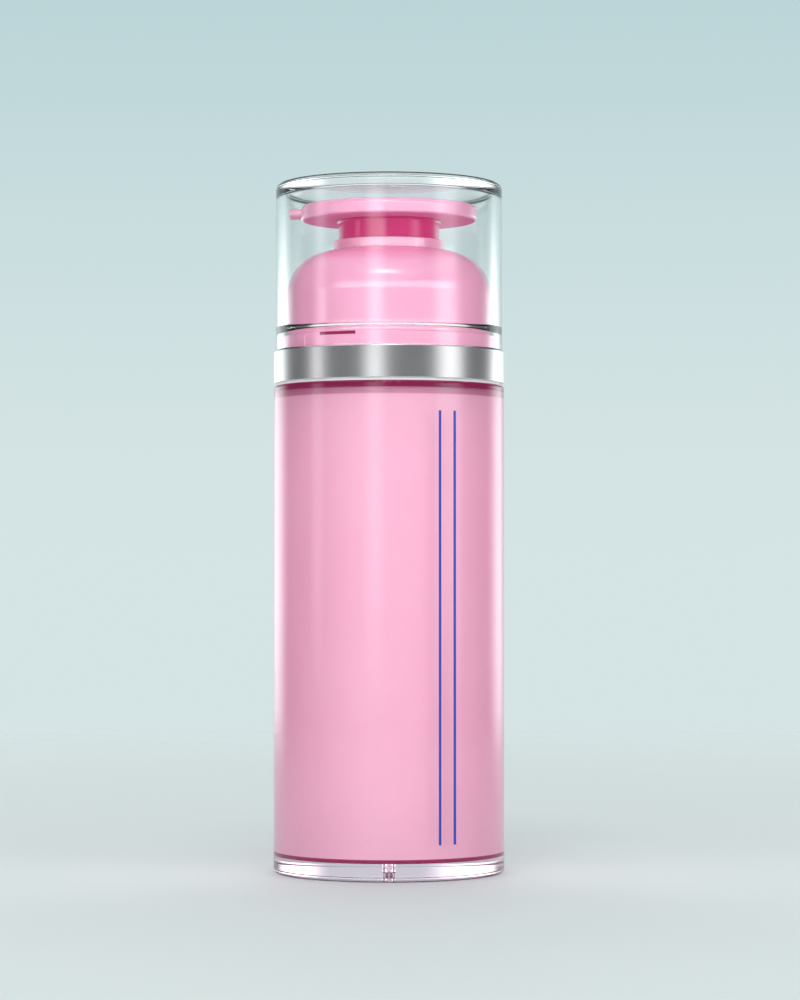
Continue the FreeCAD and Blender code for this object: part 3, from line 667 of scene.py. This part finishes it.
def paint(piece, finish, wanted):
    """Gives another finish to the faces whose corners are all wanted."""
    if finish.name not in piece.data.materials:
        piece.data.materials.append(finish)
    take(piece)
    pick(piece, wanted)
    piece.active_material_index = piece.data.materials.find(finish.name)
    bpy.ops.object.material_slot_assign()
    bpy.ops.object.mode_set(mode="OBJECT")


def on_bore_wall(here):
    """On the wall of the bore or in the rabbet, down to the edge of the bore's floor."""
    return (BASE_THICKNESS - TOUCH < here.z < bottle_high.z - FIT_GAP
            and bottle_bore - BORE_ROUND - TOUCH < math.hypot(here.x, here.y) < rabbet + TOUCH)


def in_rabbet(here):
    return (flange_under - TOUCH < here.z < bottle_high.z - FIT_GAP
            and bottle_bore + TOUCH < math.hypot(here.x, here.y) < rabbet + TOUCH)


def in_floor_corner(here):
    return BASE_THICKNESS - TOUCH < here.z < LACQUER_FOOT + TOUCH and on_bore_wall(here)


jacket = make_outer_bottle()
settle(jacket, "bottle", "clear_plastic", ROSE_CLEAR, "outer_bottle")
paint(jacket, LACQUER, on_bore_wall)
# Painted shade: the rabbet and the floor corner of the bore are painted dark, where shade falls.
paint(jacket, PAINTED_SHADE, in_rabbet)
paint(jacket, PAINTED_SHADE, in_floor_corner)
print("lacquered the bore of", jacket.name)

# %% [markdown]
# ## Inner bottle
# The liner holds the product. It stands clear of the jacket by a thin air gap, so that it can be
# slid in, and a land near each end centres it. Its flange lies in the rabbet and its neck rises
# into the head. Its section is drawn and spun as the jacket's is.

# %% Inner bottle
LINER_GAP = 0.3 * MM
LINER_WALL = 1.25 * MM
LAND_GAP = 0.1 * MM
LAND_HEIGHT = 1.6 * MM
NECK_RADIUS = 16.4 * MM
NECK_WALL = 1.5 * MM
LINER_CONE = 2.0 * MM
CONE_ROUND = 0.5 * MM
FLANGE_ROUND = 0.2 * MM

liner_low, liner_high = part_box("inner_bottle")


def make_inner_bottle():
    outer = bottle_bore - LINER_GAP
    bore = outer - LINER_WALL
    land = bottle_bore - LAND_GAP
    roof = flange_under + FLANGE_THICKNESS / 2
    low_land = liner_low.z + LAND_HEIGHT
    high_land = flange_under - LAND_HEIGHT
    return turned("pink_liner", [
        (bore, liner_low.z, SMALL_ROUND),
        (land, liner_low.z, EDGE_ROUND),
        (land, low_land, 0),
        (outer, low_land + 2 * LAND_GAP, 0),
        (outer, high_land - 2 * LAND_GAP, 0),
        (land, high_land, 0),
        (land, flange_under, 0),
        (liner_high.x, flange_under, SMALL_ROUND),
        (liner_high.x, bottle_high.z, FLANGE_ROUND),
        (NECK_RADIUS, bottle_high.z, CORNER_ROUND),
        (NECK_RADIUS, liner_high.z, EDGE_ROUND),
        (NECK_RADIUS - NECK_WALL, liner_high.z, EDGE_ROUND),
        (NECK_RADIUS - NECK_WALL, roof, CORNER_ROUND),
        (bore, roof - LINER_CONE, CONE_ROUND),
    ])


settle(make_inner_bottle(), "bottle", "pink_plastic", PINK, "inner_bottle")

# %% [markdown]
# ## Collar band
# A thin drawn ring of aluminium, with its top edge folded in over the collar. Its two outer edges
# are rounded by a quarter of a millimetre, just enough for a bright line.

# %% Collar band
BAND_THICKNESS = 0.45 * MM
BAND_LIP = 1.5 * MM
BAND_LIP_ROUND = 0.12 * MM
BAND_CUT_ROUND = 0.08 * MM


def make_collar_band():
    outer = band_high.x
    bore = outer - BAND_THICKNESS
    fold = band_high.z - BAND_THICKNESS
    return turned("aluminium_band", [
        (bore, band_low.z, BAND_CUT_ROUND),
        (outer, band_low.z, EDGE_ROUND),
        (outer, band_high.z, EDGE_ROUND),
        (outer - BAND_LIP, band_high.z, BAND_LIP_ROUND),
        (outer - BAND_LIP, fold, BAND_CUT_ROUND),
        (bore, fold, FINE_ROUND),
    ])


settle(make_collar_band(), "bottle", "satin_aluminium", ALUMINIUM, "collar_band")

# %% [markdown]
# ## Dome shoulder
# The shoulder is one moulding: a seat ring for the overcap, a straight side, a quarter round that
# runs in to the chimney, and the chimney that guides the sleeve. The quarter round is one large
# bevel of the section. The slot in the seat ring is cut with a short piece of ring, and three low
# ridges that centre the overcap are joined on, both with Boolean modifiers, because a spin alone
# can only make what is the same all round. A groove this narrow lies in its own shade, so the
# faces in the slot get the dark matt pink.

# %% Dome shoulder
DOME_WALL = 1.4 * MM
SEAT_HEIGHT = 3.4 * MM
SEAT_GAP = 0.25 * MM
DOME_GAP = 0.3 * MM
CHIMNEY_RADIUS = 11.5 * MM
CHIMNEY_WALL = 0.7 * MM
CHIMNEY_HEIGHT = 2.25 * MM
CHIMNEY_DEPTH = 3.4 * MM
CHIMNEY_FOOT_ROUND = 0.4 * MM
SEAT_FOOT_ROUND = 0.2 * MM

dome_low, dome_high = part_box("dome_shoulder")
dome_outer = cap_high.x - CAP_WALL - DOME_GAP
dome_bore = dome_outer - DOME_WALL
dome_crown = dome_high.z - CHIMNEY_HEIGHT
seat_outer = cap_high.x - CAP_RIM_WALL - SEAT_GAP
seat_crown = dome_low.z + SEAT_HEIGHT


def make_dome_shoulder():
    under_crown = dome_crown - DOME_WALL
    guide_foot = under_crown - CHIMNEY_DEPTH
    chimney_bore = CHIMNEY_RADIUS - CHIMNEY_WALL
    shoulder_round = dome_outer - CHIMNEY_RADIUS - CHIMNEY_FOOT_ROUND - FIT_GAP
    return turned("pink_shoulder", [
        (dome_bore, dome_low.z, SMALL_ROUND),
        (seat_outer, dome_low.z, SEAT_FOOT_ROUND),
        (seat_outer, seat_crown, EDGE_ROUND),
        (dome_outer, seat_crown, CORNER_ROUND),
        (dome_outer, dome_crown, shoulder_round),
        (CHIMNEY_RADIUS, dome_crown, CHIMNEY_FOOT_ROUND),
        (CHIMNEY_RADIUS, dome_high.z, EDGE_ROUND),
        (chimney_bore, dome_high.z, SMALL_ROUND),
        (chimney_bore, guide_foot, SMALL_ROUND),
        (CHIMNEY_RADIUS, guide_foot, SMALL_ROUND),
        (CHIMNEY_RADIUS, under_crown, 0),
        (dome_bore, under_crown, shoulder_round - DOME_WALL),
    ])


shoulder = make_dome_shoulder()
print(f"{shoulder.name}: crown at {dome_crown / MM:.2f} mm")

# %% Slot and cap grips of the shoulder
SLOT_HEIGHT = 0.7 * MM
SLOT_DEPTH = 0.6 * MM
SLOT_ANGLE = math.radians(21)
SLOT_DIRECTION = math.radians(242)
SLOT_STEPS = 14
SLOT_MARGIN = math.radians(0.2)
GRIP_HEIGHT = 2.0 * MM
GRIP_PROUD = 0.15 * MM
GRIP_WIDTH = 0.5 * MM
GRIP_ROUND = 0.1 * MM
GRIP_DIRECTION = math.radians(220.4)
GRIP_COUNT = 3


def face_direction(piece, direction):
    """Turns a piece about the upright axis, with the turn kept in its mesh."""
    take(piece)
    piece.rotation_euler.z = direction
    bpy.ops.object.transform_apply(location=True, rotation=True, scale=True)


def slot_cutter():
    low, high = seat_crown - SLOT_HEIGHT, seat_crown + SLOT_HEIGHT
    near, far = seat_outer - SLOT_DEPTH, seat_outer + SLOT_DEPTH
    outline = [(near, low), (far, low), (far, high), (near, high), (near, low)]
    piece = draw_section("slot_cutter", [upright_corner(across, along) for across, along in outline])
    bpy.ops.mesh.edge_face_add()
    bpy.ops.mesh.spin(steps=SLOT_STEPS, angle=SLOT_ANGLE, center=(0, 0, 0), axis=(0, 0, 1))
    close_mesh(piece)
    face_direction(piece, SLOT_DIRECTION + SLOT_ANGLE / 2)
    return piece


def cap_grip(turn):
    let_go()
    middle = (dome_low.z + seat_crown) / 2
    depth = GRIP_PROUD + SLOT_DEPTH
    bpy.ops.mesh.primitive_cube_add(size=1, location=(seat_outer + GRIP_PROUD - depth / 2, 0, middle))
    piece = name_piece("cap_grip")
    piece.scale = (depth, GRIP_WIDTH, GRIP_HEIGHT)
    bpy.ops.object.transform_apply(location=True, rotation=True, scale=True)
    bpy.ops.object.mode_set(mode="EDIT")
    bpy.ops.mesh.select_all(action="SELECT")
    bpy.ops.mesh.bevel(offset=GRIP_ROUND, segments=LEAST_SEGMENTS, affect="EDGES")
    close_mesh(piece)
    face_direction(piece, GRIP_DIRECTION + turn)
    return piece


def combine(piece, tool, operation):
    apply_modifier(piece, "BOOLEAN", operation=operation, object=tool, solver="EXACT")
    bpy.data.objects.remove(tool)


combine(shoulder, slot_cutter(), "DIFFERENCE")
for number in range(GRIP_COUNT):
    combine(shoulder, cap_grip(math.tau * number / GRIP_COUNT), "UNION")
close_mesh(shoulder)
settle(shoulder, "bottle", "pink_plastic", PINK, "dome_shoulder")


def in_slot(here):
    """On the back wall or the ledge of the slot."""
    bearing = math.atan2(here.y, here.x) % math.tau
    across = math.hypot(here.x, here.y)
    return (abs(bearing - SLOT_DIRECTION) < SLOT_ANGLE / 2 + SLOT_MARGIN
            and here.z > seat_crown - SLOT_HEIGHT - FIT_GAP
            and seat_outer - SLOT_DEPTH - FIT_GAP < across < seat_outer + FIT_GAP)


# Painted shade: the faces in the slot are painted dark pink.
paint(shoulder, PAINTED_SHADE, in_slot)
print("shaded the slot of", shoulder.name)

# %% [markdown]
# ## Press disc
# The button is a flat disc with a rounded edge and a barely dished top that a fingertip finds. A
# socket below takes the pump's stem and a groove the sleeve. The passage from the stem to the
# nozzle is bored with a stepped tool that is itself a turned piece, lying on its side. The
# underside is given a matt finish at the end, in a darker pink that is painted shade.

# %% Press disc
BUTTON_ROUND = 1.1 * MM
BUTTON_UNDER_ROUND = 0.5 * MM
BUTTON_THICKNESS = 3.1 * MM
DISH_DEPTH = 0.4 * MM
DISH_MARGIN = 2.2 * MM
DISH_STEPS = 14
BOSS_RADIUS = 4.55 * MM
SOCKET_RADIUS = 3.05 * MM
SOCKET_ROUND = 0.2 * MM
STEM_BORE = 1.9 * MM
SKIRT_WALL = 1.2 * MM
SKIRT_RADIUS = 10.5 * MM
SKIRT_SPIGOT = 0.7 * MM
NOZZLE_RISE = 1.5 * MM
NOZZLE_RADIUS = 1.1 * MM
NOZZLE_BORE = 0.5 * MM
NOZZLE_HOLD = 6.0 * MM
NOZZLE_STEPS = 64

button_low, button_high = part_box("actuator_button")
button_radius = button_high.x
button_under = button_high.z - BUTTON_THICKNESS
nozzle_level = button_under + NOZZLE_RISE


def dish_points():
    """The dished top, from its rim to the middle, as part of a sphere."""
    rim = button_radius - DISH_MARGIN
    sphere = (rim ** 2 + DISH_DEPTH ** 2) / (2 * DISH_DEPTH)
    radii = [rim * (1 - step / DISH_STEPS) for step in range(DISH_STEPS + 1)]
    return [(r, button_high.z - DISH_DEPTH + sphere - math.sqrt(sphere ** 2 - r ** 2), 0) for r in radii]


def make_button():
    socket_top = nozzle_level - NOZZLE_RADIUS + FIT_GAP
    groove_inner = SKIRT_RADIUS - SKIRT_WALL - FIT_GAP
    groove_outer = SKIRT_RADIUS - SKIRT_WALL / 2 + FIT_GAP
    groove_top = button_under + SKIRT_SPIGOT + FIT_GAP
    return turned("press_disc", [
        (0, nozzle_level + NOZZLE_BORE, 0),
        (STEM_BORE, nozzle_level + NOZZLE_BORE, 0),
        (STEM_BORE, socket_top, 0),
        (SOCKET_RADIUS, socket_top, 0),
        (SOCKET_RADIUS, button_low.z, SOCKET_ROUND),
        (BOSS_RADIUS, button_low.z, SOCKET_ROUND),
        (BOSS_RADIUS, button_under, CORNER_ROUND),
        (groove_inner, button_under, 0),
        (groove_inner, groove_top, 0),
        (groove_outer, groove_top, 0),
        (groove_outer, button_under, 0),
        (button_radius, button_under, BUTTON_UNDER_ROUND),
        (button_radius, button_high.z, BUTTON_ROUND),
        *dish_points(),
    ])


def level_corner(across, along):
    """A place on a section that lies along -X at the nozzle's level."""
    return Vector((-along, 0.0, nozzle_level + across))


def turned_level(name, corners):
    return turned(name, corners, level_corner, (0, 0, nozzle_level), (1, 0, 0), NOZZLE_STEPS)


def outlet_tool():
    shoulder_at = button_radius - NOZZLE_HOLD
    clear = button_radius + NOZZLE_HOLD
    return turned_level("outlet_tool", [
        (0, 0, 0),
        (NOZZLE_BORE, 0, 0),
        (NOZZLE_BORE, shoulder_at, 0),
        (NOZZLE_RADIUS + FIT_GAP, shoulder_at, 0),
        (NOZZLE_RADIUS + FIT_GAP, clear, 0),
        (0, clear, 0),
    ])


disc = make_button()
combine(disc, outlet_tool(), "DIFFERENCE")
close_mesh(disc)
settle(disc, "head", "pink_plastic", PINK, "actuator_button")


def under_disc(here):
    return abs(here.z - button_under) < TOUCH and math.hypot(here.x, here.y) > BOSS_RADIUS


# Painted shade: the underside gets a darker matt pink.
paint(disc, SHADED_MATT_PINK, under_disc)
print("left the underside of", disc.name, "matt")

# %% [markdown]
# ## Nozzle and sleeve
# The nozzle is a short tube pressed into the disc's edge, with a rounded mouth. The sleeve below
# the disc slides in the chimney, and its top flares a little into the disc.

# %% Nozzle and sleeve
NOZZLE_ROUND = 0.45 * MM
MOUTH_ROUND = 0.12 * MM
SKIRT_FLARE = 0.45 * MM
SKIRT_EDGE = 0.2 * MM

nozzle_low, nozzle_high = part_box("nozzle_tip")
skirt_low, skirt_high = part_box("actuator_skirt")


def make_nozzle():
    return turned_level("nozzle_spout", [
        (NOZZLE_BORE, -nozzle_high.x, 0),
        (NOZZLE_RADIUS, -nozzle_high.x, FINE_ROUND),
        (NOZZLE_RADIUS, -nozzle_low.x, NOZZLE_ROUND),
        (NOZZLE_BORE, -nozzle_low.x, MOUTH_ROUND),
    ])


def make_sleeve():
    inner = SKIRT_RADIUS - SKIRT_WALL
    spigot = SKIRT_RADIUS - SKIRT_WALL / 2
    flare = SKIRT_RADIUS + SKIRT_FLARE
    return turned("pink_sleeve", [
        (inner, skirt_low.z, SMALL_ROUND),
        (SKIRT_RADIUS, skirt_low.z, EDGE_ROUND),
        (SKIRT_RADIUS, button_under - SKIRT_EDGE, SKIRT_FLARE - FIT_GAP),
        (flare, button_under - SKIRT_EDGE, 0),
        (flare, button_under, 0),
        (spigot, button_under, 0),
        (spigot, skirt_high.z, FINE_ROUND),
        (inner, skirt_high.z, FINE_ROUND),
    ])


settle(make_nozzle(), "head", "pink_plastic", PINK, "nozzle_tip")
settle(make_sleeve(), "head", "deep_pink_plastic", DEEP_PINK, "actuator_skirt")

# %% [markdown]
# ## Return spring
# The coil is already right in the measured model, so a copy of it is taken, with a mesh of its own.

# %% Return spring
spring_low, spring_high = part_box("return_spring")
stroke = next(joint for joint in frame["joints"] if joint["name"] == "pump_press")["range_m"][1]
coil_height = spring_high.z - spring_low.z


def make_spring():
    """A copy of the coil without the marks that make it a node of the measured model."""
    take(frame["nodes"]["return_spring"])
    bpy.ops.object.duplicate()
    piece = name_piece("spring_coil")
    for key in list(piece.keys()):
        del piece[key]
    piece.parent = None
    close_mesh(piece)
    return piece


spring = make_spring()
settle(spring, "bottle", "steel", STEEL, "return_spring")
1 - stroke / coil_height
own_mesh(spring)

# %% [markdown]
# ## Print
# Two pinstripes run up the right of the front. They are drawn flat in front of the bottle, as on
# the printer's film, projected on to the jacket with a Shrinkwrap modifier and given the
# thickness of an ink film.

# %% Pinstripes
INK_FILM = 0.03 * MM
INK_LIFT = FIT_GAP / 10
FILM_DISTANCE = 40 * MM
STRIPE_WIDTH = 0.5 * MM
STRIPE_LOW = 7.4 * MM
STRIPE_HIGH = 95.1 * MM
STRIPE_CUTS = 3
STRIPE_PLACES = (10.3 * MM, 13.3 * MM)


def print_on_jacket(piece):
    """Lays a flat drawing on the front of the jacket as a film of ink."""
    apply_modifier(piece, "SHRINKWRAP", target=jacket, wrap_method="PROJECT", use_project_y=True,
                   use_positive_direction=True, use_negative_direction=False, offset=INK_LIFT)
    apply_modifier(piece, "SOLIDIFY", thickness=INK_FILM, offset=1.0)
    close_mesh(piece)


def make_stripe(number, place):
    let_go()
    middle = (STRIPE_LOW + STRIPE_HIGH) / 2
    bpy.ops.mesh.primitive_plane_add(size=1, location=(place, -FILM_DISTANCE, middle))
    piece = name_piece(f"print_stripe_{number}")
    piece.rotation_euler.x = math.pi / 2
    piece.scale = (STRIPE_WIDTH, STRIPE_HIGH - STRIPE_LOW, 1)
    bpy.ops.object.transform_apply(location=True, rotation=True, scale=True)
    bpy.ops.object.mode_set(mode="EDIT")
    bpy.ops.mesh.select_all(action="SELECT")
    bpy.ops.mesh.subdivide(number_cuts=STRIPE_CUTS)
    bpy.ops.object.mode_set(mode="OBJECT")
    print_on_jacket(piece)
    return piece


for number, place in enumerate(STRIPE_PLACES, start=1):
    settle(make_stripe(number, place), "bottle", None, INK)

# %% [markdown]
# ## Dressing the hidden pieces
# The other pieces of the model keep their own shapes. Each only gets the finish of its material.

# %% Dress the hidden pieces
HIDDEN_FINISHES = {
    DEEP_PINK: ["inner_base"],
    WHITE: ["collar_ring", "screw_closure", "pump_housing", "stem_guide", "pump_stem"],
    SOFT: ["piston_core", "pump_piston", "follower_piston"],
    RUBBER: ["neck_gasket"],
    STEEL: ["inlet_ball"],
}

for finish, names in HIDDEN_FINISHES.items():
    for name in names:
        frame["nodes"][name].data.materials.clear()
        frame["nodes"][name].data.materials.append(finish)
    print(finish.name, "on", ", ".join(names))

# %% [markdown]
# ## Floor
# The bottle stands on a plain pale floor. Near the bottle it is a lit surface that takes the
# shadow. Further off it fades away and leaves the backdrop, so that no horizon line crosses the
# picture or the mirror image in the jacket.

# %% Floor
FLOOR_RADIUS = 0.9
FLOOR_SIDES = 128
FLOOR_PATCH = 0.2
CLOTH_GRAIN = 1.2 * MM
CLOTH_DEPTH = 0.02 * MM
FADE_START = 0.15
FADE_END = 0.85
BACKDROP_LOW = seen_colour(213, 228, 229)
BACKDROP_HIGH = seen_colour(170, 203, 207)
FLOOR_COLOUR = seen_colour(230, 243, 243)
FLOOR_SHADE = seen_colour(225, 239, 239)
ALL_LIGHT = (1.0, 1.0, 1.0, 1.0)


def floor_finish():
    finish, shader, place = new_finish("pale_floor", {"Roughness": 0.7})
    cloth = noise(place, CLOTH_GRAIN)
    feed(shader, {
        "Base Color": between(noise(place, FLOOR_PATCH, detail=2.0), FLOOR_COLOUR, FLOOR_SHADE),
        "Normal": bumps(cloth, CLOTH_DEPTH),
    })
    away = place.node("ShaderNodeVectorMath", {"operation": "LENGTH"}, {0: place}, output="Value")
    let_light_through(finish, shader, rising(away, FADE_START, FADE_END), ALL_LIGHT)
    return finish


let_go()
bpy.ops.mesh.primitive_circle_add(vertices=FLOOR_SIDES, radius=FLOOR_RADIUS, fill_type="NGON")
floor = name_piece("floor")
floor.data.materials.append(floor_finish())
print("floor ready")

# %% [markdown]
# ## Light
# Six softboxes light the bottle. Their bearings are counted from the camera's side, to the right.
# A front, a right and a left box draw soft upright bands on the metal with dark gaps between. Two
# wide panels behind the bottle draw the white lines down its edges, and a box high up makes the
# highlight on the shoulder. Each box fades out towards its edges, as cloth over a lamp does, so
# that no hard frame shows in a polished wall.

# %% Softboxes
def soften(lamp, fades):
    """Lets a softbox fade out towards its edges."""
    lamp.use_nodes = True
    place = Wire(lamp.node_tree.nodes.new("ShaderNodeNewGeometry").outputs["Parametric"])
    glow = 1.0
    for side, fade in zip("XY", fades):
        across = reach(place, side)
        glow = glow * rising(across, 0.0, fade) * (1 - rising(across, 1 - fade, 1.0))
    emission = lamp.node_tree.nodes["Emission"]
    lamp.node_tree.links.new(glow.socket, emission.inputs["Strength"])


def softbox(name, bearing, distance, height, size, fades, brightness):
    """A soft lamp that faces the bottle's middle. A brightness of 1 is that of lit white paper."""
    let_go()
    turn = math.radians(bearing)
    place = Vector((math.sin(turn) * distance, -math.cos(turn) * distance, height))
    aim = Vector((0, 0, cad_high.z / 2)) - place
    bpy.ops.object.light_add(type="AREA", location=place)
    lamp = bpy.context.object
    lamp.name = name
    lamp.rotation_euler = aim.to_track_quat("-Z", "Y").to_euler()
    lamp.data.shape = "RECTANGLE"
    lamp.data.size, lamp.data.size_y = size
    lamp.data.energy = brightness * math.pi * size[0] * size[1]
    lamp.visible_camera = False
    soften(lamp.data, fades)
    print(f"{name}: {size[0]:.2f} by {size[1]:.2f} m at {bearing} degrees")


softbox("front_box", bearing=-14, distance=0.95, height=0.15,
        size=(0.46, 0.34), fades=(0.45, 0.30), brightness=1.95)
softbox("right_box", bearing=62, distance=0.85, height=0.15,
        size=(0.62, 0.34), fades=(0.42, 0.30), brightness=1.9)
softbox("left_box", bearing=-75, distance=0.85, height=0.15,
        size=(0.32, 0.34), fades=(0.45, 0.30), brightness=1.5)
softbox("left_rim", bearing=-143, distance=0.9, height=0.09,
        size=(0.96, 0.34), fades=(0.45, 0.40), brightness=1.8)
softbox("right_rim", bearing=136, distance=0.9, height=0.09,
        size=(0.84, 0.34), fades=(0.45, 0.40), brightness=2.0)
softbox("high_box", bearing=-4, distance=0.60, height=0.80,
        size=(0.60, 0.24), fades=(0.45, 0.40), brightness=9.0)

# %% [markdown]
# The rest of the studio is the world. It has to be several things at once, so it asks which way a
# ray came. The camera, and whatever is seen straight through a clear wall, gets the pale backdrop.
# A ray mirrored by an outer surface gets dim walls in front and the backdrop behind, so that the
# band and the clear walls show little but the lamps. A ray mirrored by the pink under a clear wall
# also gets a wide white panel in front, which wakes the pearl. The panel's foot is a little below
# eye level, and it has a slit at the heights that the upright tumbler mirrors, so that no veil lies
# on the tumbler from the front. Overhead is a bright ceiling within a dark ring. Everything else
# gets a soft fill from the front and the back.

# %% Studio world
def grey(level):
    return (level, level, level, 1.0)


FRONT_FILL = grey(1.72)
SIDE_FILL = grey(0.15)
BACK_FILL = grey(1.9)
GAP_GREY = grey(0.12)
DARK_RING = grey(0.12)
CEILING = grey(0.95)
PANEL = grey(5.2)
PANEL_BEARING = math.radians(7.5)
PANEL_FACING = (math.sin(PANEL_BEARING), -math.cos(PANEL_BEARING), 0.0)
PANEL_EDGE = (0.24, 0.46)
PANEL_FOOT = (-0.14, -0.10)
SLIT_FOOT = (0.060, 0.067)
SLIT_HEAD = (0.130, 0.145)
BACKDROP_RISE = (0.0, 0.3)
BACKDROP_EDGE = (0.5, 0.75)
SKY_EDGE = (0.33, 0.42)
CEILING_EDGE = (0.6, 0.7)
FILL_FRONT = (-1.0, 0.0)
FILL_BACK = (0.3, 1.0)


def mirrored_room(heading, backdrop, through):
    """Dim walls with the backdrop behind, and a panel for rays that left through a clear wall."""
    height = reach(heading, "Z")
    behind = reach(heading, "Y")
    ahead = heading.node(
        "ShaderNodeVectorMath", {"operation": "DOT_PRODUCT"}, {0: heading, 1: PANEL_FACING}, "Value")
    slit = rising(height, *SLIT_FOOT) * (1 - rising(height, *SLIT_HEAD))
    walls = between(rising(behind, *BACKDROP_EDGE), GAP_GREY, backdrop)
    panel = rising(ahead, *PANEL_EDGE) * rising(height, *PANEL_FOOT) * (1 - slit)
    return between(panel * through, walls, PANEL)


def soft_fill(heading):
    behind = reach(heading, "Y")
    front = between(rising(behind, *FILL_FRONT), FRONT_FILL, SIDE_FILL)
    return between(rising(behind, *FILL_BACK), front, BACK_FILL)


def studio_world():
    world = bpy.data.worlds.new("studio")
    bpy.context.scene.world = world
    world.use_nodes = True
    heading = Wire(world.node_tree.nodes.new("ShaderNodeTexCoord").outputs["Generated"])
    height = reach(heading, "Z")
    overhead = rising(height, *SKY_EDGE)
    sky = between(rising(height, *CEILING_EDGE), DARK_RING, CEILING)
    backdrop = between(rising(height, *BACKDROP_RISE), BACKDROP_LOW, BACKDROP_HIGH)

    scattered = rising(light_path(heading, "Diffuse Depth"), 0.0, 1.0)
    mirrored = rising(light_path(heading, "Glossy Depth"), 0.0, 1.0) * (1 - scattered)
    through = light_path(heading, "Is Transmission Ray") * (1 - scattered)
    seen = light_path(heading, "Is Camera Ray") + through * (1 - mirrored)

    room = between(overhead, mirrored_room(heading, backdrop, through), sky)
    view = between(overhead, backdrop, sky)
    colour = between(seen, between(mirrored, soft_fill(heading), room), view)
    world.node_tree.links.new(colour.socket, world.node_tree.nodes["Background"].inputs["Color"])
    return world


print("made", studio_world().name)

# %% [markdown]
# ## Camera
# The picture was taken with a long lens, a little below the bottle's middle. How far the round
# edges sag above and below eye level gives the camera's height and distance.

# %% Camera
CAMERA_DISTANCE = 0.672
CAMERA_HEIGHT = 0.0614
CAMERA_LENS = 116.0
CAMERA_NEAREST = 0.01
CAMERA_TILT = math.radians(1.37)
CAMERA_PAN = math.radians(-0.196)

let_go()
bpy.ops.object.camera_add(
    location=(0, -CAMERA_DISTANCE, CAMERA_HEIGHT),
    rotation=(math.pi / 2 + CAMERA_TILT, 0, CAMERA_PAN),
)
camera = bpy.context.object
camera.data.lens = CAMERA_LENS
camera.data.clip_start = CAMERA_NEAREST
bpy.context.scene.camera = camera
bpy.context.scene.view_settings.view_transform = "Standard"
print(f"camera {CAMERA_DISTANCE} m away, {CAMERA_LENS:.0f} mm lens")
